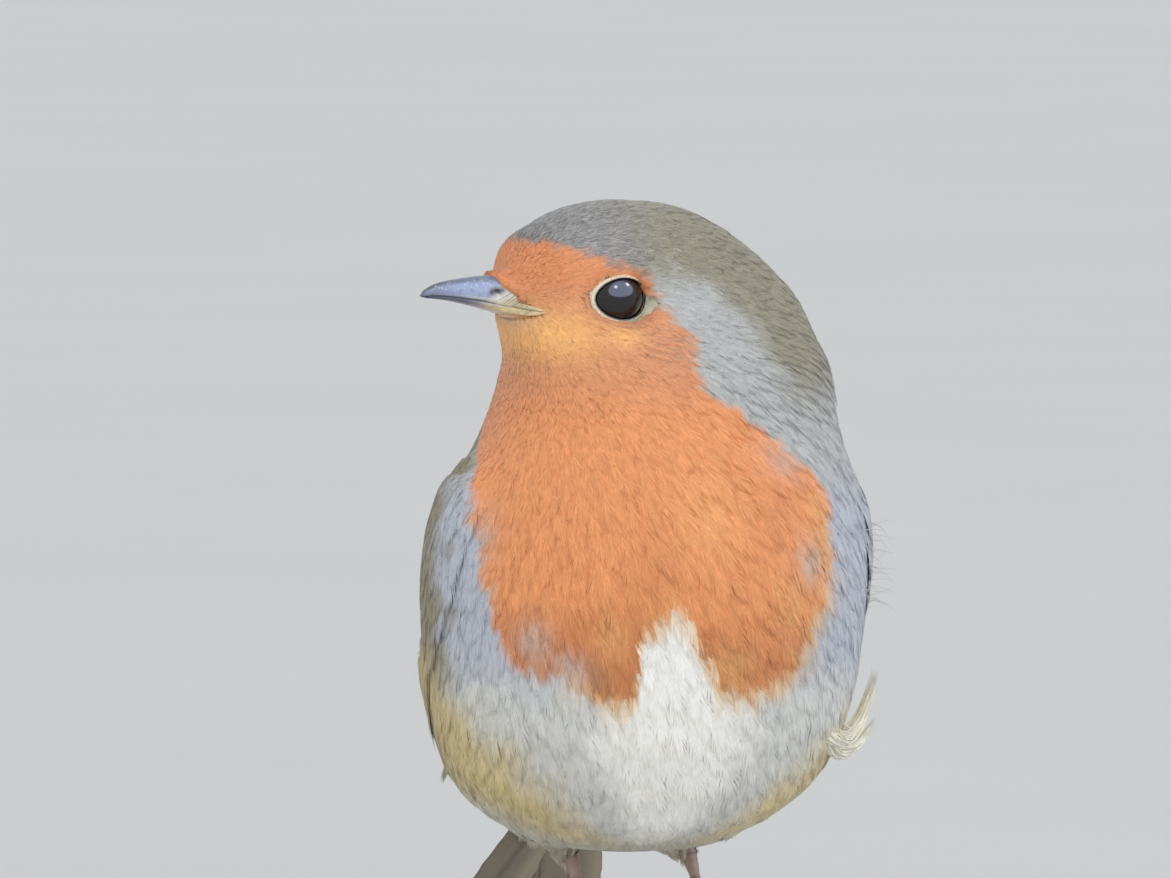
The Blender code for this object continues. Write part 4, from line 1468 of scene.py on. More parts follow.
# ---- eyes ---------------------------------------------------------------------------------------
@dataclass
class Eye:
    """An eyeball with its lids and the ring of pale feathers round them."""

    anatomy: Anatomy
    side: str
    skin: Surface
    half_wide: float = 3.17  # of the opening between the lids
    half_high: float = 2.32
    setback: float = 0.02  # of the opening's middle behind the eyeball's
    corner: float = 0.08  # how far both corners are drawn out
    lid_breadth: float = 0.20
    lid_thickness: float = 0.20
    ring_feathers: int = 84
    ring_rows: int = 3

    @property
    def sign(self) -> float:
        """1 on the left, -1 on the right."""
        return SIDES[self.side]

    def place(self, turn: float, grow: float, proud: float) -> Array:
        """A place by the opening's rim.

        Args:
            turn: the bearing round the rim, in radians from straight ahead towards the crown.
            grow: how far outside the rim.
            proud: how far over the eyeball, or over the face where that stands further out.

        Returns:
            The place in millimetres.
        """
        drawn = self.corner * abs(math.cos(turn)) ** 9
        ahead = (self.half_wide + drawn + grow) * math.cos(turn) - self.setback
        up = (self.half_high + grow) * math.sin(turn)
        radius = self.anatomy.eye_radius + proud
        out = self.anatomy.eye_side + math.sqrt(max(radius**2 - ahead**2 - up**2, 1.0))
        forward = self.anatomy.eye_forward + ahead
        face = self.anatomy.half_breadth(self.skin, self.sign, forward, up + self.anatomy.eye_up)
        if face is not None:
            out = max(out, face + 0.06 + 0.5 * proud)
        return self.anatomy.head_point(forward, self.sign * out, up + self.anatomy.eye_up)

    def build(self, rng: np.random.Generator) -> List[bpy.types.Object]:
        """Make eyeball, lids and ring feathers."""
        return [self._ball(), self._lids(), self._ring(rng)]

    def _ball(self) -> bpy.types.Object:
        """The eyeball, with a slightly raised cornea."""
        centre = self.anatomy.metres(self.anatomy.eye_place(self.sign))
        bpy.ops.object.select_all(action="DESELECT")
        bpy.ops.mesh.primitive_uv_sphere_add(
            segments=64, ring_count=40, radius=self.anatomy.eye_radius * MM, location=centre
        )
        ball = bpy.context.object
        ball.name = ball.data.name = f"eyeball_{self.side}"
        bpy.ops.object.transform_apply(location=True)
        away = vertices(ball) - centre
        looking = unit(away) @ (self.anatomy.left * self.sign)
        raised = 1.0 + 0.03 * smooth(looking, 0.70, 0.97)
        set_vertices(ball, centre + away * raised[:, None])
        ball.data.shade_smooth()
        ball.data.materials.append(EyeFinish(self.anatomy, self.sign).make())
        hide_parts(f"eye_{self.side}")
        return ball

    def _lids(self) -> bpy.types.Object:
        """The rim of both lids, a flat ring that hugs the eyeball."""

        def shape(s: float, t: float) -> Array:
            """A place on the ring's closed cross-section."""
            turn, way = math.tau * t, math.tau * s
            grow = self.lid_breadth * (1.0 - math.cos(way))
            wrinkle = 0.02 * math.sin(23.0 * turn)
            proud = 0.06 + self.lid_thickness * (0.55 + 0.5 * math.sin(way)) + wrinkle
            return self.place(turn, grow, proud)

        lids = wrapped(f"eyelids_{self.side}", 14, 96, shape, self.anatomy)
        ahead, _, up = self.anatomy.eye_measures(self.anatomy.rows(lids))
        across = np.hypot((ahead + self.setback) / self.half_wide, up / self.half_high)
        rim, ring = screen(52, 44, 40), Dye.EYE_RING.row[:3]
        carry(lids.data, "plumage", blend(rim, ring, smooth(across, 1.03, 1.11)))
        lids.data.materials.append(HornFinish(f"lid_skin_{self.side}", 0.5).make())
        return lids

    def _ring(self, rng: np.random.Generator) -> bpy.types.Object:
        """Short pale feathers in rows round the lids, pointing outwards."""
        places, normals, sides, lengths = [], [], [], []
        for row in range(self.ring_rows):
            for number in range(self.ring_feathers):
                turn = math.tau * (number + 0.5 * (row % 2)) / self.ring_feathers + rng.normal(0.0, 0.02)
                rear = 0.5 - 0.5 * math.cos(turn + 0.5)
                start = 0.12 + (0.10 + 0.16 * rear) * row
                long = (0.32 + 0.42 * rear**1.5 + 0.04 * row) * rng.uniform(0.8, 1.2)
                long *= 1.0 - 0.3 * float(smooth(math.sin(turn), 0.4, 0.9))
                steps = [k / PATH_STEPS for k in range(PATH_STEPS + 1)]
                line = np.array([self.place(turn, start + long * step, 0.24 + 0.16 * step) for step in steps])
                out = unit(line - self.anatomy.eye_place(self.sign))
                way = unit(np.gradient(line, axis=0))
                normal = square_to(out, way)
                places.append(line)
                normals.append(normal)
                sides.append(np.cross(normal, way))
                lengths.append(long)

        def colour(points: Array) -> Array:
            """Cream, brighter behind and below, orange in front and dusky above."""
            forward, _, up = self.anatomy.head_measures(points)
            dusky = smooth(np.abs(ripple(points, 1.1)), 0.45, 0.8) * smooth(up, 0.5, 2.5)
            dye = blend(Dye.EYE_RING.row, Dye.CROWN_GREY.row, 0.15 * dusky)
            dye = blend(dye, Dye.FOREHEAD.row, 0.75 * smooth(up, 1.7, 2.7) * smooth(forward, -2.0, 0.5))
            return dye

        lines = (np.array(places), np.array(normals), np.array(sides))
        lengths = np.array(lengths)
        cut = Cut(1.5, 4, 2, half_width=0.3, breadth=0.09)
        batch = Barbs(colour, roundness=12.0).make(lines, lengths, 0.12 * lengths, cut, rng)
        turns = np.repeat(np.arange(len(lengths)) / len(lengths), len(batch.uv) // len(lengths))
        ring_map = 0.5 + 0.4 * np.stack([np.cos(math.tau * turns), np.sin(math.tau * turns)], axis=1)
        batch.uv = batch.uv + ring_map
        finish = PlumageFinish(f"ring_barbs_{self.side}").make()
        piece = batch.build(f"coat_eye_ring_{self.side}", self.anatomy, finish)
        return piece


# ---- bill ---------------------------------------------------------------------------------------
@dataclass(frozen=True)
class Station:
    """One cut across the bill, from midway between the eyes."""

    forward: float
    culmen: float
    tomium: float
    lower_edge: float
    half_width: float


@dataclass
class Bill:
    """Both halves of the thin, straight bill, with nostrils and gape."""

    anatomy: Anatomy
    flesh: Surface
    stations: Tuple[Station, ...] = (
        Station(8.6, 2.55, -1.45, -2.3, 3.05),
        Station(10.4, 2.75, -0.95, -1.85, 2.7),
        Station(12.0, 2.86, -0.62, -1.48, 2.36),
        Station(14.0, 2.84, -0.20, -0.96, 1.88),
        Station(16.0, 2.66, 0.16, -0.42, 1.50),
        Station(18.0, 2.42, 0.46, 0.0, 1.16),
        Station(19.6, 2.14, 0.62, 0.24, 0.88),
        Station(20.8, 1.72, 0.66, 0.36, 0.60),
        Station(21.5, 1.28, 0.62, 0.42, 0.38),
        Station(22.0, 0.78, 0.54, 0.44, 0.12),
    )
    lower_short: float = 0.6
    nostril: Tuple[float, float] = (13.0, 1.02)  # forward and up
    nostril_size: Tuple[float, float] = (0.9, 0.30)
    around: int = 32
    along: int = 60
    plumage_end: float = 13.5
    chin_end: float = 12.5
    brow_line: Tuple[Tuple[float, float], ...] = (  # up and forward of the plumage's edge over the gape
        (-1.2, 8.6), (-0.75, 9.6), (-0.4, 10.6), (0.5, 11.1), (1.2, 11.9), (2.2, 12.7), (3.2, 13.1),
    )
    chin_line: Tuple[Tuple[float, float], ...] = (  # forward and up of its edge on the chin
        (8.6, -1.2), (9.3, -1.7), (10.8, -2.0), (12.6, -1.9),
    )
    gape_rows: Tuple[Tuple[float, ...], ...] = (  # forward, upper and lower edge
        (14.2, 13.2, 12.2, 11.2, 10.1, 9.2, 8.4),
        (-0.40, -0.2, 0.0, -0.05, -0.50, -0.85, -1.10),
        (-0.75, -1.02, -1.28, -1.52, -1.68, -1.62, -1.34),
    )

    def bare(self, forward: Array, up: Array) -> Array:
        """Which places in the head are bare horn or gape."""
        above = forward > np.interp(up, *zip(*self.brow_line))
        between = above & (up > np.interp(forward, *zip(*self.chin_line)))
        end = np.where(up < -0.5, self.chin_end, self.plumage_end)
        return (between | (forward > end)) & (up > -6.0)

    def section(self, forward: float) -> Tuple[float, float, float, float]:
        """Culmen, tomium, lower edge and half width, on smooth curves through the stations."""
        places = [station.forward for station in self.stations]
        rows = [[s.culmen, s.tomium, s.lower_edge, s.half_width] for s in self.stations]
        near = np.clip(forward + np.linspace(-0.7, 0.7, 5), places[0], places[-1])
        weights = np.array([1.0, 3.0, 4.0, 3.0, 1.0]) / 12.0
        if forward > places[-1] - 0.7:
            near = np.full(5, forward)
        return tuple(float((np.interp(near, places, column) * weights).sum()) for column in zip(*rows))

    def build(self, rng: np.random.Generator) -> List[bpy.types.Object]:
        """Make both halves, the gape's flanges and the bristles over them."""
        pieces = [self._half(True), self._half(False)]
        pieces += [self._gape(side) for side in SIDES]
        pieces.append(self._bristles(rng))
        return pieces

    def _half(self, upper: bool) -> bpy.types.Object:
        """One half, domed outside and flat where it shuts."""
        first, last = self.stations[0].forward, self.stations[-1].forward
        last -= 0.0 if upper else self.lower_short
        sign = 1.0 if upper else -1.0

        def shape(s: float, t: float) -> Array:
            """A place on the half's closed cross-section, closed at both ends."""
            ends = closing(t, 16.0, 40.0)
            forward = first + (last - first) * t
            culmen, tomium, lower_edge, half_width = self.section(forward)
            turn = math.tau * s
            across, rise = math.cos(turn), math.sin(turn)
            edge = tomium + sign * 0.03
            depth = abs((culmen if upper else lower_edge) - edge)
            if rise >= 0.0:
                ridge = 0.72 if upper else 0.85
                out = math.copysign(abs(across) ** ridge, across)
                up = edge + sign * depth * rise**0.92
            else:
                out, up = across, edge + sign * 0.28 * depth * rise * (1 - abs(across))
            middle = 0.5 * (edge + (culmen if upper else lower_edge))
            left = half_width * out
            if upper:
                inwards = self._nostril_at(forward, up)
                left *= 1.0 - 0.26 * inwards * (abs(across) > 0.2)
                left *= 1.0 + 0.07 * smooth(forward, 13.5, 11.5) * (rise > 0)
            return self.anatomy.head_point(forward, left * ends, middle + (up - middle) * ends)

        name = "bill_upper_horn" if upper else "bill_lower_horn"
        half = wrapped(name, self.around, self.along, shape, self.anatomy)
        with_modifier(half, "SUBSURF", levels=1, render_levels=1)
        carry(half.data, "plumage", self._horn(self.anatomy.rows(half), upper))
        half.data.materials.append(HornFinish(f"{name}_finish", 0.3).make())
        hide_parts("bill_upper" if upper else "bill_lower")
        return half

    def _horn(self, rows: Array, upper: bool) -> Array:
        """The horn's colours at places: grey, pale at the root, darker at the tip and over the culmen, with painted
        glints on its upper sides and painted shade in the nostril.
        """
        forward, _, up = self.anatomy.head_measures(rows)
        pale = screen(206, 196, 164)
        colour = blend(screen(130, 143, 168), screen(88, 94, 108), smooth(forward, 16.5, 21.5))
        uneven = ripple(rows, 1.7)
        if not upper:
            colour = blend(colour, pale, 0.95 * smooth(0.6 * uneven - forward, -17.0, -12.5))
            return blend(colour, screen(78, 86, 104), 0.7 * smooth(forward, 14.0, 17.0))
        culmen, tomium, _, _ = (np.array(v) for v in zip(*[self.section(f) for f in forward]))
        height = (up - tomium) / np.maximum(culmen - tomium, 0.1)
        root = smooth(0.5 * uneven - forward, -14.6, -12.2) * smooth(0.62 - height, -0.1, 0.25)
        edge = smooth(0.16 - height, -0.06, 0.08) * smooth(-forward, -19.5, -15.0)
        shut = smooth(0.10 - height, -0.03, 0.05) * smooth(forward, 12.5, 15.0)
        # Pale bluish-white flecks over the bill's upper sides: painted glints.
        painted_glints = smooth(ripple(rows, 0.75, 3.0), 0.35, 0.8) * smooth(forward, 12.5, 14.5) * smooth(height, 0.35, 0.6)
        stain = smooth(ripple(rows, 1.5, 5.0), 0.2, 0.8) * smooth(0.7 - height, -0.1, 0.3)
        layers = (
            (screen(88, 96, 112), 0.55 * smooth(height, 0.62, 0.95)),
            (pale, 0.85 * root),
            (pale, 0.6 * edge),
            (screen(58, 62, 74), 0.8 * shut),
            # painted glints
            (screen(206, 208, 216), 0.5 * painted_glints),
            (screen(92, 92, 104), 0.45 * stain * smooth(forward, 13.5, 15.5)),
            # The nostril's slit painted near-black: painted shade in its opening.
            (screen(26, 24, 26), np.minimum(1.0, 1.6 * self._nostril_at(forward, up))),
        )
        for tone, share in layers:
            colour = blend(colour, tone, share)
        return colour

    def _nostril_at(self, forward: Any, up: Any) -> Any:
        """How much a place belongs to the nostril's slit, 0 to 1."""
        ahead = (forward - self.nostril[0]) / self.nostril_size[0]
        above = (up - self.nostril[1] + 0.22 * (forward - self.nostril[0])) / self.nostril_size[1]
        return np.exp(-(np.abs(ahead) ** 3) - above**2)

    def _gape(self, side: str) -> bpy.types.Object:
        """The pale swollen edges of the gape, parted by the line where the bill shuts."""
        sign = SIDES[side]
        forwards, uppers, lowers = (np.array(row) for row in self.gape_rows)

        def edges(forward: Any) -> Iterable[Any]:
            """The flange's upper and lower edge."""
            return (np.interp(-forward, -forwards, row) for row in (uppers, lowers))

        samples = np.linspace(forwards[0], forwards[-1], 24)
        reach = []
        for forward in samples:
            upper, lower = edges(forward)
            reach.append(self.anatomy.half_breadth(self.flesh, sign, forward, 0.2 * upper + 0.8 * lower))
        reach = np.convolve(np.pad(reach, 3, mode="edge"), np.ones(7) / 7.0, mode="valid")

        def shape(s: float, t: float) -> Array:
            """A place on the closed cross-section."""
            forward = forwards[0] + (forwards[-1] - forwards[0]) * t
            upper, lower = edges(forward)
            height = math.sin(math.tau * s)
            outwards = math.cos(math.tau * s)
            notch = 1.0 - 0.9 * math.exp(-(((height - 0.08) / 0.13) ** 2)) * (outwards > 0)
            ends = closing(t, 5.0, 5.0, 0.05)
            lateral = np.interp(-forward, -samples, reach) - 0.12 + 0.34 * outwards * notch * ends
            up = 0.5 * (upper + lower) + 0.5 * (upper - lower) * height * ends
            return self.anatomy.head_point(forward, sign * lateral, up)

        flange = wrapped(f"gape_{side}", 48, 48, shape, self.anatomy)
        rows = self.anatomy.rows(flange)
        forward, _, up = self.anatomy.head_measures(rows)
        upper, lower = edges(forward)
        height = (up - 0.5 * (upper + lower)) / np.maximum(0.5 * (upper - lower), 0.05)
        colour = blend(screen(222, 200, 146), screen(198, 182, 146), smooth(ripple(rows, 1.2), -0.4, 0.8))
        colour = blend(colour, screen(178, 172, 158), smooth(forward, 9.5, 12.5) * smooth(height, -0.2, 0.4))
        colour = blend(colour, screen(96, 80, 62), 0.8 * np.exp(-(((height - 0.08) / 0.12) ** 2)))
        carry(flange.data, "plumage", colour)
        flange.data.materials.append(HornFinish(f"gape_skin_{side}", 0.45).make())
        return flange

    def _bristles(self, rng: np.random.Generator) -> bpy.types.Object:
        """Fine dark bristles that reach forward over the gape."""
        curves = []
        for sign in SIDES.values():
            for number in range(7):
                forward = 11.6 - 0.45 * number
                up = 0.9 - 0.22 * number + rng.normal(0.0, 0.1)
                out = 2.7 + 0.22 * number
                root = self.anatomy.head_point(forward, sign * out, up)
                reach = rng.uniform(2.0, 3.0)
                bend = self.anatomy.head_point(forward + 0.5 * reach, sign * (out + 0.5), up - 0.5)
                tip = self.anatomy.head_point(forward + reach, sign * (out + 0.35), up - 1.2)
                curves.append((root, bend, tip))
        batch = Strands().make(curves, [0.032] * len(curves), [screen(62, 52, 46)] * len(curves))
        piece = batch.build("rictal_bristles", self.anatomy, PlumageFinish("bristle_barbs").make())
        return piece


# ---- wings and tail -----------------------------------------------------------------------------
@dataclass(frozen=True)
class VaneCut:
    """The outline and build of one stiff flight feather or covert."""

    stations: int = 16
    across: int = 4  # cells on each side of the shaft
    thickness: float = 0.16
    point: float = 0.22  # the share of its length over which its end is rounded
    shaft: float = 0.45  # how much darker its shaft is

    def make(
        self,
        line: Lines,
        half_width: float,
        dyes: Tuple[Array, Array],
        cell: Tuple[float, float, float, float],
        rng: np.random.Generator,
        roll: float = 0.0,
    ) -> Batch:
        """Make one closed vane.

        Args:
            line: places, normals and sideways directions along its shaft.
            half_width: its greatest half width.
            dyes: the colours of its middle and of its edge.
            cell: its own part of the map: corner, breadth and height.
            rng: the draws for its frayed edge.
            roll: how far its upper-side edge sinks below the other.

        Returns:
            The vane as a batch.
        """
        middles, normals, sides = line
        count = 2 * self.across + 1
        stations = np.linspace(0.0, 1.0, self.stations)
        places = np.linspace(0.0, 1.0, len(middles))
        spots, ups, outs = (
            np.stack([np.interp(stations, places, part[:, k]) for k in range(3)], axis=1)
            for part in (middles, normals, sides)
        )
        ups, outs = unit(ups), unit(outs)
        end = np.clip((stations - 1.0 + self.point) / self.point, 0.0, 1.0)
        breadth = half_width * np.minimum(1.0, (0.25 + stations * 6.0)) * np.sqrt(1.0 - 0.96 * end**2)
        cross = np.linspace(-1.0, 1.0, count)
        fray = 1.0 + 0.02 * rng.normal(0.0, 1.0, (self.stations, 1)) * np.abs(cross[None]) ** 3
        reach = breadth[:, None] * cross[None] * fray
        sweep = 0.35 * np.abs(reach) * (1.0 - 0.6 * end[:, None])
        way = unit(np.gradient(spots, axis=0))
        bow = -0.10 * np.abs(cross[None]) ** 2 * breadth[:, None] - roll * cross[None]
        thick = 0.5 * self.thickness * (0.25 + 0.75 * (1.0 - np.abs(cross[None]) ** 1.5))
        layers = []
        for side in (1.0, -1.0):
            rise = bow + side * thick
            layer = spots[:, None] + outs[:, None] * reach[..., None] + ups[:, None] * rise[..., None]
            layers.append(layer - way[:, None] * (0.35 * sweep * (1 - stations[:, None]))[..., None])
        points = np.stack(layers)
        number = np.arange(2 * self.stations * count).reshape(2, self.stations, count)
        faces = []
        for side in range(2):
            a, b = number[side, :-1, :-1].ravel(), number[side, 1:, :-1].ravel()
            c, d = number[side, 1:, 1:].ravel(), number[side, :-1, 1:].ravel()
            quads = [(a, b, c), (a, c, d)] if side == 0 else [(a, c, b), (a, d, c)]
            faces += [np.stack(quad, axis=1) for quad in quads]
        rims = [
            (number[0, :, 0], number[1, :, 0], True),
            (number[0, :, -1], number[1, :, -1], False),
            (number[0, 0], number[1, 0], False),
            (number[0, -1], number[1, -1], True),
        ]
        for top, low, turned in rims:
            a, b, c, d = top[:-1], top[1:], low[1:], low[:-1]
            if turned:
                b, d = d, b
            faces += [np.stack([a, b, c], axis=1), np.stack([a, c, d], axis=1)]
        faces = np.concatenate(faces)[:, ::-1]
        shaft = np.exp(-((cross[None] * breadth[:, None] / 0.22) ** 2))
        outer = smooth(-cross[None] * np.ones((self.stations, 1)), 0.35, 0.95)
        rim = np.maximum(outer, 0.7 * smooth(stations, 0.9, 1.0)[:, None])
        colour = blend(dyes[0][:3], dyes[1][:3], rim)
        colour = colour * (1.0 - self.shaft * shaft[..., None])
        colours = np.concatenate([colour.reshape(-1, 3)] * 2)
        u = np.broadcast_to(0.5 + 0.46 * cross[None], (self.stations, count))
        v = np.broadcast_to(0.02 + 0.96 * stations[:, None], (self.stations, count))
        sheet = np.stack([cell[0] + 0.5 * cell[2] * u, cell[1] + cell[3] * v], axis=-1)
        below = sheet + np.array([0.5 * cell[2], 0.0])
        uv = np.concatenate([sheet.reshape(-1, 2), below.reshape(-1, 2)])
        extra = {
            "along": np.tile(np.repeat(stations, count), 2),
            "across": np.tile(cross, 2 * self.stations),
        }
        return Batch(points.reshape(-1, 3), faces, colours, uv=uv, extra=extra)


@dataclass(frozen=True)
class Row:
    """One row of a folded wing's feathers, between its lowest and its highest feather.

    Roots and tips are shares of the wing: along from shoulder to tip, and across from -1 at its
    lower edge to 1 at its upper edge.
    """

    count: int
    roots: Tuple[Tuple[float, float], Tuple[float, float]]
    tips: Tuple[Tuple[float, float], Tuple[float, float]]
    half_widths: Tuple[float, float]
    depth: float  # below the wing's outline
    tone: Tuple[int, int, int]
    edge: Tuple[int, int, int]


@dataclass
class Wing:
    """A folded wing: rows of coverts over secondaries and primaries."""

    anatomy: Anatomy
    side: str
    bins: int = 14
    wrist: float = 0.0  # y before which the breast's feathers cover the wing
    rows: Tuple[Row, ...] = (
# primaries
        Row(8, ((0.34, -0.60), (0.40, 0.10)), ((0.76, -0.86), (1.0, 0.1)),
            (1.5, 1.9), 0.95, (100, 91, 73), (154, 144, 110)),
        # secondaries
        Row(7, ((0.32, -0.45), (0.30, 0.45)), ((0.64, -0.66), (0.80, 0.30)),
            (2.0, 2.3), 0.75, (108, 98, 77), (156, 142, 104)),
        # tertials
        Row(3, ((0.26, 0.35), (0.26, 0.72)), ((0.84, 0.34), (0.64, 0.86)),
            (3.2, 2.8), 0.5, (114, 103, 79), (158, 142, 104)),
        # primary coverts
        Row(5, ((0.16, -0.92), (0.20, -0.62)), ((0.50, -0.94), (0.48, -0.66)),
            (1.3, 1.5), 0.55, (100, 91, 73), (126, 116, 88)),
        # alula
        Row(3, ((0.10, -0.86), (0.12, -0.66)), ((0.36, -0.98), (0.30, -0.74)),
            (1.3, 1.5), 0.4, (96, 87, 70), (128, 118, 90)),
        # greater coverts
        Row(9, ((0.14, -0.62), (0.16, 0.78)), ((0.43, -0.70), (0.48, 0.82)),
            (2.0, 2.6), 0.4, (118, 108, 83), (156, 142, 106)),
        # median coverts
        Row(9, ((0.02, -0.72), (0.06, 0.80)), ((0.25, -0.72), (0.29, 0.88)),
            (2.0, 2.4), 0.28, (124, 115, 89), (148, 138, 106)),
        # lesser coverts low
        Row(9, ((-0.03, -0.7), (0.0, 0.8)), ((0.14, -0.76), (0.18, 0.9)),
            (1.8, 2.0), 0.2, (130, 121, 95), (136, 128, 102)),
        # lesser coverts high
        Row(8, ((-0.08, -0.7), (-0.06, 0.8)), ((0.07, -0.8), (0.09, 0.9)),
            (1.7, 1.9), 0.12, (134, 126, 101), (138, 131, 106)),
    )

    def build(self, node: bpy.types.Object, rng: np.random.Generator) -> bpy.types.Object:
        """Make the wing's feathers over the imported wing."""
        points = self.anatomy.rows(node)
        self.surface = Surface(points, triangles(node))
        sign = SIDES[self.side]
        flat = points[:, 1:]
        front, back = flat[np.argmin(flat[:, 0])], flat[np.argmax(flat[:, 0])]
        self.axis = unit(back - front)
        self.across = np.array([-self.axis[1], self.axis[0]])
        along, over = flat @ self.axis, flat @ self.across
        self.ends = (along.min(), along.max())
        steps = np.linspace(*self.ends, self.bins)
        width = 1.2 * (steps[1] - steps[0])
        spans = [over[np.abs(along - step) < width] for step in steps]
        self.steps = steps
        self.low, self.high = np.array([span.min() for span in spans]), np.array([span.max() for span in spans])
        total = sum(row.count for row in self.rows)
        columns = math.ceil(math.sqrt(total))
        batches = []
        for row in self.rows:
            for number in range(row.count):
                share = number / (row.count - 1)
                at = len(batches)
                cell = (at % columns / columns, at // columns / columns, 1 / columns, 1 / columns)
                line = self._line(row, share, sign, rng)
                if line[0][:, 1].mean() < self.wrist:
                    continue
                half_width = row.half_widths[0] + (row.half_widths[1] - row.half_widths[0]) * share
                dyes = dyed(rng, 0.05, row.tone, row.edge)
                batches.append(VaneCut().make(line, half_width, dyes, cell, rng, roll=0.16 * sign))
        finish = VaneFinish(f"wing_vanes_{self.side}").make()
        piece = Batch.joined(batches).build(f"coat_wing_{self.side}", self.anatomy, finish)
        return piece

    def _line(self, row: Row, share: float, sign: float, rng: np.random.Generator) -> Lines:
        """The shaft's line of one feather of a row."""
        root, tip = (
            np.array(ends[0]) * (1 - share) + np.array(ends[1]) * share for ends in (row.roots, row.tips)
        )
        tip = tip + rng.normal(0.0, 0.012, 2)
        spots, ups = [], []
        for step in np.linspace(0.0, 1.0, 9):
            along, over = root + (tip - root) * step
            spot, normal = self._outer(along, over, sign)
            sunk = row.depth + 0.35 * (1.0 - step) ** 2
            spots.append(spot - sunk * normal)
            ups.append(normal)
        spots, ups = np.array(spots), unit(np.array(ups))
        way = unit(np.gradient(spots, axis=0))
        return spots, ups, unit(np.cross(ups, way))

    def _outer(self, along: float, over: float, sign: float) -> Tuple[Array, Array]:
        """The wing's outline and its normal at a share along and across it."""
        place = self.ends[0] + (self.ends[1] - self.ends[0]) * along
        low, high = (np.interp(place, self.steps, edge) for edge in (self.low, self.high))
        flat = self.axis * place + self.across * (0.5 * (low + high) + 0.5 * over * (high - low))
        start = np.array([sign * 60.0, flat[0], flat[1]])
        hit = self.surface.tree.ray_cast(start, (-sign, 0.0, 0.0))
        if hit[0] is None:
            start[0] = sign * 26.0
            hit = self.surface.tree.find_nearest(start)
        normal = self.surface.normals[self.surface.faces[hit[2]]].sum(axis=0)
        normal[0] = sign * max(abs(normal[0]), 0.5 * np.linalg.norm(normal[1:]))
        return np.array(hit[0]), unit(normal)


@dataclass(frozen=True)
class Coverts:
    """One row of soft vanes that run from the rump or the vent over the tail's root."""

    count: int
    start: Tuple[float, float, float]  # the outermost feather's root: sideways, y and z
    end: Tuple[float, float, float]  # its tip
    half_width: float
    lift: float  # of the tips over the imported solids
    tone: Tuple[int, int, int]
    edge: Tuple[int, int, int]


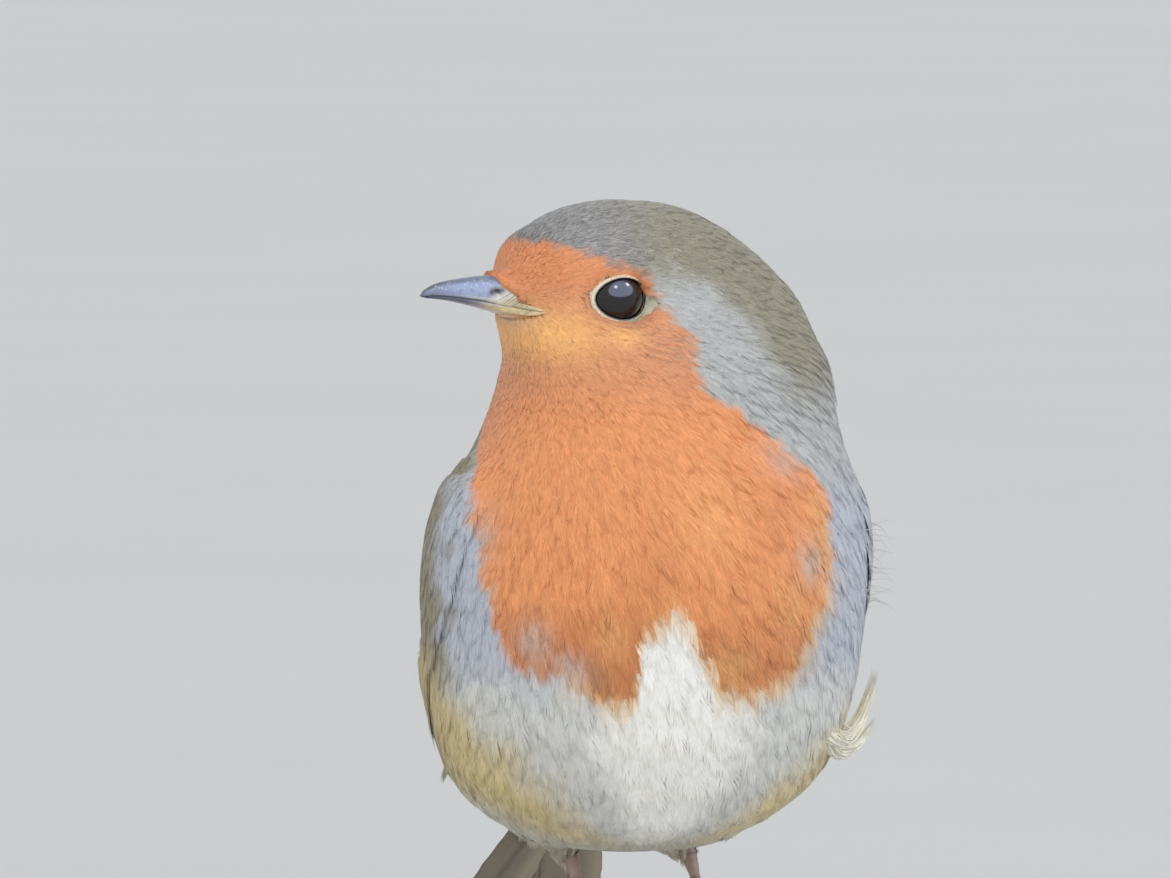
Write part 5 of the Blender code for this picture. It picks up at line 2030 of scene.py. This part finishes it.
@dataclass
class Tail:
    """Twelve tail feathers, stacked with the middle pair on top, and the coverts over their roots."""

    anatomy: Anatomy
    flesh: Surface
    coverts: Tuple[Coverts, ...] = (
        Coverts(7, (2.8, 39.0, 35.0), (3.6, 54.5, 25.0), 1.5, 0.30, (137, 118, 82), (138, 116, 76)),
        Coverts(8, (4.2, 38.0, 37.0), (4.4, 50.0, 28.0), 1.5, 0.50, (138, 118, 82), (138, 116, 74)),
        Coverts(9, (5.4, 37.0, 38.5), (5.2, 45.5, 32.0), 1.5, 0.70, (138, 119, 83), (136, 114, 73)),
        Coverts(6, (2.6, 34.0, 22.0), (3.2, 52.0, 19.0), 1.7, -0.05, (204, 198, 178), (222, 217, 200)),
        Coverts(7, (4.0, 31.0, 20.0), (4.0, 46.0, 20.5), 1.7, 0.05, (204, 198, 178), (222, 217, 200)),
    )
    pairs: int = 6
    half_width: float = 3.6
    droop: float = math.radians(30.0)
    root: Tuple[float, float, float] = (0.0, 40.0, 31.0)
    tone: Tuple[int, int, int] = (142, 130, 110)
    edge: Tuple[int, int, int] = (184, 170, 144)

    def build(self, rng: np.random.Generator) -> bpy.types.Object:
        """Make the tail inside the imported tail's outline."""
        _, high = self.anatomy.corners(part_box("tail"))
        way = np.array([0.0, math.cos(self.droop), -math.sin(self.droop)])
        up = np.array([0.0, math.sin(self.droop), math.cos(self.droop)])
        root = np.array(self.root)
        reach = (high[1] - root[1]) / way[1] - 0.4
        spread = high[0] - self.half_width * 0.80
        batches = []
        for sign in (1.0, -1.0):
            for number in range(self.pairs):
                share = number / (self.pairs - 1)
                side = sign * (0.35 + share * spread)
                layer = 0.45 - 0.17 * number - (0.08 if sign < 0 else 0.0)
                short = 2.2 * (1.0 - share) ** 2 + 0.5 * share**2
                steps = np.linspace(0.0, 1.0, 9)
                line = root + np.outer(steps * (reach - short), way)
                line += np.outer(sign * 0.6 + (side - sign * 0.6) * steps**1.1, [1.0, 0.0, 0.0])
                line += np.outer(layer - 0.9 * (share * steps) ** 2, up)
                ups = np.tile(unit(up + np.array([0.10 * sign * share, 0, 0])), (len(steps), 1))
                outs = unit(np.cross(ups, unit(np.gradient(line, axis=0))))
                cell = (number / 6, 0.3 * (sign < 0), 1 / 6, 0.3)
                dyes = dyed(rng, 0.04, self.tone, self.edge)
                cut = VaneCut(stations=28, across=5, point=0.14)
                batches.append(cut.make((line, ups, outs), self.half_width, dyes, cell, rng, roll=-0.12 * sign))
        total = sum(row.count for row in self.coverts)
        for row in self.coverts:
            for number in range(row.count):
                cell = ((len(batches) - 2 * self.pairs) / total, 0.6, 1 / total, 0.4)
                line = self._covert(row, 2.0 * number / (row.count - 1) - 1.0, rng)
                dyes = dyed(rng, 0.03, row.tone, row.edge)
                cut = VaneCut(stations=14, thickness=0.10, point=0.4, shaft=0.12)
                batches.append(cut.make(line, row.half_width, dyes, cell, rng))
        piece = Batch.joined(batches).build("coat_tail", self.anatomy, VaneFinish("tail_vanes", 150.0).make())
        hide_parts("tail")
        return piece

    def _covert(self, row: Coverts, share: float, rng: np.random.Generator) -> Lines:
        """The shaft's line of one covert, from its place in the row, -1 to 1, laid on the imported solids."""
        sideways = np.array([share, 1.0, 1.0])
        start, end = np.array(row.start) * sideways, np.array(row.end) * sideways
        end = end + [rng.normal(0.0, 0.25), -1.6 * share**2 + rng.normal(0.0, 0.5), 0.0]
        steps = np.linspace(0.0, 1.0, 9)
        spots, ups = self.flesh.nearest(start + np.outer(steps, end - start))
        sunk = (row.lift + 1.3) * np.clip(1.0 - steps / 0.4, 0.0, 1.0) ** 2
        spots = spots + ups * (row.lift - sunk)[:, None]
        for _ in range(2):
            spots[1:-1] = 0.25 * spots[:-2] + 0.5 * spots[1:-1] + 0.25 * spots[2:]
            ups[1:-1] = unit(0.25 * ups[:-2] + 0.5 * ups[1:-1] + 0.25 * ups[2:])
        way = unit(np.gradient(spots, axis=0))
        ups = square_to(ups, way)
        return spots, ups, unit(np.cross(ups, way))


# ---- legs ---------------------------------------------------------------------------------------
@dataclass
class Leg:
    """A bare shank with its scutes, the foot and its claws."""

    anatomy: Anatomy
    side: str
    toes: Tuple[str, ...] = ("inner", "middle", "outer", "hind")
    shank_radius: float = 0.82
    scutes: int = 8
    hip: Tuple[float, float, float] = (-2.0, 0.6, 5.2)  # the bone's upper end, hidden in the belly
    toe_scute: float = 1.25  # from one scute of a toe to the next
    knuckle: float = 0.82  # radius of the toe's end, which holds the claw

    def build(self, nodes: Dict[str, bpy.types.Object]) -> List[bpy.types.Object]:
        """Make shank, foot and claws."""
        pieces = [self._shank(), self._foot(nodes)]
        return pieces + [self._claw(nodes[f"claw_{self.side}_{toe}"], toe) for toe in self.toes]

    def _shank(self) -> bpy.types.Object:
        """The shank: thick joints at both ends and overlapping scutes down its front."""
        low, high = self.anatomy.corners(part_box(f"shank_{self.side}"))
        radius = self.shank_radius
        top = np.array([low[0] + radius, high[1] - radius, high[2] + 0.2])
        sole = np.array([high[0] - radius, low[1] + radius, low[2] - 0.9])
        hip = top + np.array(self.hip)
        down = unit(sole - top)
        knee = 0.18
        front = square_to(np.array([0.0, -1.0, 0.0]), down)
        side = np.cross(down, front)

        def shape(s: float, t: float) -> Array:
            """A place on the shank's oval cross-section."""
            joints = 0.36 * math.exp(-(((t - knee) / 0.06) ** 2)) + 0.34 * math.exp(-(((t - 0.97) / 0.06) ** 2))
            turn = math.tau * s
            facing = 0.5 + 0.5 * math.cos(turn)
            step = (t * self.scutes) % 1.0
            scute = 0.05 * facing * step
            ends = closing(t, 30.0, 30.0, 0.02)
            own = radius * (0.88 + joints + scute - 0.1 * math.sin(math.pi * t)) * ends
            near = [np.interp(t + shift, (0.0, knee, 1.0), (0.0, 1.0, 2.0)) for shift in (-0.05, 0.0, 0.05)]
            spot = sum(hip + (top - hip) * min(n, 1.0) + (sole - top) * max(n - 1.0, 0.0) for n in near) / 3.0
            return spot + own * (1.12 * math.cos(turn) * front + 0.86 * math.sin(turn) * side)

        shank = wrapped(f"shank_horn_{self.side}", 20, 112, shape, self.anatomy)
        rows = self.anatomy.rows(shank)
        along = (rows - top) @ down / np.linalg.norm(sole - top)
        facing = unit(rows - top - np.outer((rows - top) @ down, down)) @ front
        groove = smooth(np.abs((along * self.scutes) % 1.0 - 0.5), 0.40, 0.49) * smooth(facing, -0.2, 0.5)
        return self._finish(shank, groove, f"shank_{self.side}")

    def _foot(self, nodes: Dict[str, bpy.types.Object]) -> bpy.types.Object:
        """The foot, with scutes across the top of each toe and a knuckle round each claw's root."""
        foot = copy_of(nodes[f"foot_{self.side}"], f"foot_horn_{self.side}")
        middle = vertices(foot).mean(axis=0)
        knuckles = []
        for toe in self.toes:
            rows = vertices(nodes[f"claw_{self.side}_{toe}"])
            away = np.linalg.norm(rows[:, :2] - middle[:2], axis=1)
            root = rows[away < away.min() + 0.2 * MM].mean(axis=0)
            inwards = unit((middle - root) * [1.0, 1.0, 0.0])
            for back in (0.0, 0.9):
                place, radius = root + back * MM * inwards, self.knuckle * MM
                bpy.ops.mesh.primitive_uv_sphere_add(
                    segments=16, ring_count=10, radius=radius, location=(place[0], place[1], radius)
                )
                knuckles.append(only(bpy.context.object))
                bpy.ops.object.transform_apply(location=True)
        joined([foot] + knuckles)
        with_modifier(foot, "REMESH", mode="VOXEL", voxel_size=0.00018, use_smooth_shade=True)
        with_modifier(foot, "SMOOTH", factor=0.5, iterations=4)
        places = self.anatomy.rows(foot)
        low, high = self.anatomy.corners(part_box(f"shank_{self.side}"))
        hub = np.array([high[0] - self.shank_radius, low[1] + self.shank_radius, 1.0])
        away = np.linalg.norm(places[:, :2] - hub[:2], axis=1)
        surface = Surface(places, triangles(foot))
        step = (away / self.toe_scute) % 1.0
        top = smooth(surface.normals[:, 2], -0.1, 0.5)
        ridge = 0.09 * (step - 0.5) * top * smooth(away, 1.5, 2.5)
        self.anatomy.move(foot, places + ridge[:, None] * surface.normals)
        groove = smooth(np.abs(step - 0.5), 0.40, 0.5) * top * smooth(away, 1.5, 2.5)
        return self._finish(foot, groove, f"foot_{self.side}")

    def _finish(self, piece: bpy.types.Object, groove: Array, node: str) -> bpy.types.Object:
        """Give a horny piece its skin."""
        carry(piece.data, "groove", groove)
        piece.data.shade_smooth()
        piece.data.materials.append(LegFinish(f"{node}_skin").make())
        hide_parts(node)
        return piece

    def _claw(self, node: bpy.types.Object, toe: str) -> bpy.types.Object:
        """A smooth curved claw, paler at its root."""
        claw = copy_of(node, f"claw_horn_{self.side}_{toe}")
        with_modifier(claw, "SUBSURF", levels=2, render_levels=2)
        rows = self.anatomy.rows(claw)
        low, _ = self.anatomy.corners(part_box(f"foot_{self.side}"))
        hub = np.array([low[0] + 4.0, 8.6])
        away = np.linalg.norm(rows[:, :2] - hub, axis=1)
        share = (away - away.min()) / (away.max() - away.min())
        carry(claw.data, "plumage", blend(screen(112, 94, 80), screen(58, 50, 46), smooth(share, 0.1, 0.8)))
        claw.data.shade_smooth()
        claw.data.materials.append(HornFinish(f"claw_finish_{self.side}_{toe}", 0.36, 2500.0).make())
        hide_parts(f"claw_{self.side}_{toe}")
        return claw


@dataclass
class Thighs:
    """The soft feathers that hang from the belly over the tops of both shanks."""

    anatomy: Anatomy
    flesh: Surface
    barbs: Barbs
    feathers: int = 170
    spread: float = 3.4
    slant: Tuple[float, float, float] = (-2.0, 0.6, 0.0)  # of their middle from over the ankle

    def build(self, rng: np.random.Generator) -> bpy.types.Object:
        """Make both legs' feathers as one piece."""
        lines, lengths = [], []
        for side in SIDES:
            low, high = self.anatomy.corners(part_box(f"shank_{side}"))
            ankle = np.array([low[0] + 0.9, high[1] - 0.9, high[2]])
            for _ in range(self.feathers):
                turn, reach = rng.uniform(0.0, math.tau), self.spread * math.sqrt(rng.uniform(0.06, 1.0))
                out = np.array([math.cos(turn), math.sin(turn), 0.0])
                start = ankle + np.array(self.slant) + reach * out
                hit = self.flesh.tree.ray_cast([start[0], start[1], 10.0], (0.0, 0.0, 1.0))[0]
                if hit is None:
                    continue
                root = np.array(hit) + [0.0, 0.0, 0.3]
                long = rng.uniform(1.9, 3.0) * (1.0 - 0.35 * reach / self.spread)
                steps = np.linspace(0.0, 1.0, PATH_STEPS + 1)[:, None]
                ends = root + np.array([0.3, -0.1, -0.9]) * long - 0.45 * reach * out
                line = root + (ends - root) * steps
                line = line + out * (0.25 * np.sin(math.pi * steps))
                way = unit(np.gradient(line, axis=0))
                normal = square_to(out, way)
                lines.append((line, normal, np.cross(normal, way)))
                lengths.append(float(np.linalg.norm(line[-1] - line[0])))
        stacked = tuple(np.array(part) for part in zip(*lines))
        lengths = np.array(lengths)
        cut = Cut(99.0, 8, 3, breadth=0.04)
        batch = self.barbs.make(stacked, lengths, 0.06 * lengths, cut, rng)
        each = len(batch.uv) // len(lengths)
        columns = math.ceil(math.sqrt(len(lengths)))
        number = np.repeat(np.arange(len(lengths)), each)
        batch.uv = batch.uv + np.stack([number % columns, number // columns], axis=1) / columns * 0.99
        piece = batch.build("coat_thighs", self.anatomy, PlumageFinish("thigh_barbs").make())
        return piece


# ---- loose down ---------------------------------------------------------------------------------
@dataclass
class LooseDown:
    """The white curled tuft at the left flank and the wisps that stand off above it."""

    anatomy: Anatomy
    flesh: Surface
    locks: Tuple[Tuple[Any, ...], ...] = (  # root, bend and tip (bearing, height, out), strands, breadth
        ((67.0, 38.6, -0.8), (86.0, 36.2, 2.6), (83.0, 45.2, 2.3), 360, 0.42),
        ((69.0, 37.6, -0.8), (85.0, 36.0, 2.4), (88.0, 40.2, 3.4), 240, 0.36),
        ((64.0, 38.4, -0.8), (70.0, 35.8, 1.4), (77.0, 37.6, 2.2), 200, 0.34),
        ((60.0, 38.8, -0.8), (64.0, 38.0, 1.2), (70.0, 38.2, 1.5), 120, 0.30),
    )

    def _at(self, bearing: float, height: float) -> Tuple[Array, Array]:
        """The outline and its normal at a bearing and height."""
        turn = math.radians(bearing)
        out = np.array([math.sin(turn), -math.cos(turn), 0.0])
        start = np.array([0.0, 2.0, height]) + 60.0 * out
        hit = self.flesh.tree.ray_cast(start, -out)
        return np.array(hit[0]), np.array(hit[1])

    def _off(self, bearing: float, height: float, out: float) -> Array:
        """A place so far off the outline."""
        place, normal = self._at(bearing, height)
        return place + out * normal

    def build(self, rng: np.random.Generator) -> List[bpy.types.Object]:
        """Make the tuft and the wisps."""
        finish = PlumageFinish("down_barbs", sheen=0.4).make()
        curves, radii, colours = [], [], []
        for root, bend, tip, count, breadth in self.locks:
            middle = [self._off(*place) for place in (root, bend, tip)]
            for _ in range(count):
                reach = rng.uniform(0.62, 1.06)
                first = blend(middle[0], middle[1], reach)
                last = blend(first, blend(middle[1], middle[2], reach), reach)
                offset = rng.normal(0.0, breadth, 3)
                stray = rng.normal(0.0, 0.12, 3) + 0.35 * offset
                curves.append((middle[0] + offset, first + 0.8 * offset, last + stray))
                radii.append(rng.uniform(0.10, 0.15))
                tone = blend(Dye.WHITE.row, Dye.EYE_RING.row, rng.uniform(0.3, 0.9))
                colours.append(tone * rng.uniform(0.9, 1.05))
        tuft = Strands().make(curves, radii, colours).build("coat_flank_tuft", self.anatomy, finish)
        curves, radii, colours = [], [], []
        for _ in range(34):
            height = rng.uniform(52.0, 63.0)
            place, out = self._at(rng.uniform(60.0, 84.0), height)
            long = rng.uniform(1.6, 3.6)
            tip = place + out * long + rng.normal(0, 0.9, 3) - np.array([0, 0.0, 0.25 * long])
            bend = place + out * 0.6 * long + np.array([0.0, 0.2, rng.normal(0.0, 0.15) * long])
            curves.append((place - out, bend, tip))
            radii.append(0.045)
            colours.append(Dye.PALE_GREY.row * rng.uniform(0.8, 1.0))
        wisps = Strands().make(curves, radii, colours).build("coat_wisps", self.anatomy, finish)
        return [tuft, wisps]


# ---- studio -------------------------------------------------------------------------------------
@dataclass(frozen=True)
class Studio:
    """A pale floor, soft light and the camera."""

    anatomy: Anatomy
    bearing: float = math.radians(-12.0)  # the camera looks this far round from +Y
    slope: float = math.radians(3.0)  # and this far down
    distance: float = 2.0
    frame_width: float = 133.5
    aim_right: float = -6.8  # what the middle of the frame shows, in millimetres
    aim_up: float = 72.3
    floor_radius: float = 9.0
    windows: Tuple[Tuple[str, float, float, float, float, Tuple[float, float, float]], ...] = (
        ("window_left", 0.27, 0.70, 0.28, 2.4, (0.95, 0.97, 1.0)),
        ("window_right", 0.86, 0.72, 0.28, 2.4, (0.95, 0.97, 1.0)),
        ("window_sky", 0.46, 0.46, 1.50, 42.0, (0.58, 0.66, 1.0)),
    )

    def build(self) -> None:
        """Make floor, world, lights and camera."""
        self._floor()
        self._world()
        right, ahead = self._directions()
        up = np.array([0.0, 0.0, 1.0])
        aim = self.anatomy.metres(self.aim_right * right + self.aim_up * up)
        self._sun("key", 0.30 * right + 0.28 * up - 0.90 * ahead, 0.99, 44.0, (1.0, 0.99, 0.97))
        self._sun("fill", -0.85 * right + 0.06 * up - 0.50 * ahead, 0.77, 70.0, (0.98, 0.99, 1.0))
        self._sun("side", 0.98 * right + 0.10 * up - 0.10 * ahead, 0.61, 60.0, (0.84, 0.92, 1.0))
        for label, across, rise, size, power, colour in self.windows:
            way = unit(across * right + rise * up + (across - 0.98) * ahead)
            self._box(label, aim + 1.4 * way, aim, size, power, colour)
        look = ahead * math.cos(self.slope) - up * math.sin(self.slope)
        camera = bpy.data.cameras.new("camera")
        camera.sensor_width = 36.0
        camera.lens = camera.sensor_width * self.distance / (self.frame_width * MM)
        camera.clip_start, camera.clip_end = 0.05, 60.0
        bpy.context.scene.camera = self._hung(camera, aim - self.distance * look, look)

    def _hung(self, data: Any, place: Array, way: Array) -> bpy.types.Object:
        """Hang a camera or light at a place, looking one way."""
        holder = placed(data.name, data)
        holder.location = place
        holder.rotation_euler = Vector(way).to_track_quat("-Z", "Y").to_euler()
        return holder

    def _directions(self) -> Tuple[Array, Array]:
        """The camera's level right and ahead."""
        across, along = math.cos(self.bearing), math.sin(self.bearing)
        return np.array([across, along, 0.0]), np.array([-along, across, 0.0])

    def _floor(self) -> None:
        """A wide pale floor with a faint unevenness."""
        bpy.ops.object.select_all(action="DESELECT")
        bpy.ops.mesh.primitive_circle_add(vertices=96, radius=self.floor_radius, fill_type="NGON")
        floor = bpy.context.object
        floor.name = "floor"
        graph = Graph("floor_paper")
        noise = graph.noise(graph.place(), 6.0)
        pale, cool = (0.70, 0.70, 0.69), (0.67, 0.675, 0.665)
        graph.dress(Base_Color=graph.mix(noise, pale, cool), Roughness=0.9, Specular_IOR_Level=0.1)
        floor.data.materials.append(graph.material)

    def _world(self) -> None:
        """An even pale sky."""
        world = bpy.data.worlds.new("studio")
        world.use_nodes = True
        sky = world.node_tree.nodes["Background"]
        sky.inputs["Color"].default_value = (0.95, 0.97, 1.0, 1.0)
        sky.inputs["Strength"].default_value = 0.74
        bpy.context.scene.world = world
        bpy.context.scene.view_settings.view_transform = "Standard"

    def _sun(self, name: str, towards: Array, strength: float, size: float, colour: Sequence[float]) -> None:
        """A broad sun.

        Args:
            name: the light's name.
            towards: the direction it shines from.
            strength: its strength.
            size: how broad it looks, in degrees.
            colour: its colour.
        """
        light = bpy.data.lights.new(name, "SUN")
        light.energy, light.angle, light.color = strength, math.radians(size), colour
        self._hung(light, np.zeros(3), -unit(towards)).visible_glossy = False

    def _box(
        self, name: str, place: Array, aim: Array, size: float, power: float, colour: Tuple[float, float, float]
    ) -> None:
        """A round soft box that only wet and horny parts mirror."""
        light = bpy.data.lights.new(name, "AREA")
        light.shape, light.size_y, light.energy, light.color = "ELLIPSE", size, power, colour
        light.size = 2.0 * size if size > 1.0 else size
        holder = self._hung(light, place, aim - place)
        holder.visible_diffuse = holder.visible_camera = False


# ---- the whole bird -----------------------------------------------------------------------------
def solids(nodes: Dict[str, bpy.types.Object], names: Sequence[str], anatomy: Anatomy) -> Tuple[Surface, Array]:
    """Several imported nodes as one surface.

    Args:
        nodes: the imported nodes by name.
        names: which of them.
        anatomy: turns the model's metres into millimetres.

    Returns:
        The surface, and the owner of each of its triangles.
    """
    points, faces, owners, start = [], [], [], 0
    for name in names:
        rows, own = anatomy.rows(nodes[name]), triangles(nodes[name])
        points.append(rows)
        faces.append(own + start)
        owners += [name] * len(own)
        start += len(rows)
    return Surface(np.concatenate(points), np.concatenate(faces)), np.array(owners)


def ride(pieces: Sequence[bpy.types.Object]) -> None:
    """Let pieces ride on the bird's one body, and say so."""
    for piece in pieces:
        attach(piece, "root")
        LOG.info("%s: %d faces", piece.name, len(piece.data.polygons))


def main() -> None:
    """Build the whole bird and its studio."""
    logging.basicConfig(level=logging.INFO, format="%(name)s: %(message)s")
    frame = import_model()
    nodes = frame["nodes"]
    rng = np.random.default_rng(5)
    anatomy = Anatomy.measure()
    lie, markings = Lie(anatomy), Markings(anatomy)
    face, _ = solids(nodes, ("head", "bill_upper", "bill_lower"), anatomy)
    bill = Bill(anatomy, face)
    skin_maker = Skin(anatomy, lie, markings, bill)
    skin, surface = skin_maker.build(nodes)
    ride([skin])
    flesh, owners = solids(nodes, skin_maker.flesh + ("tail",), anatomy)
    coat = Coat(anatomy, lie, markings, surface, flesh, owners, Barbs(markings.colour), bill)
    ride(coat.build())
    ride([Thighs(anatomy, flesh, coat.barbs).build(rng)])
    for side in SIDES:
        ride(Eye(anatomy, side, surface).build(rng))
    ride(bill.build(rng))
    for side in SIDES:
        ride([Wing(anatomy, side).build(nodes[f"wing_{side}"], rng)])
    ride([Tail(anatomy, flesh).build(rng)])
    for side in SIDES:
        ride(Leg(anatomy, side).build(nodes))
    ride(LooseDown(anatomy, flesh).build(rng))
    Studio(anatomy).build()


if __name__ == "__main__":
    main()
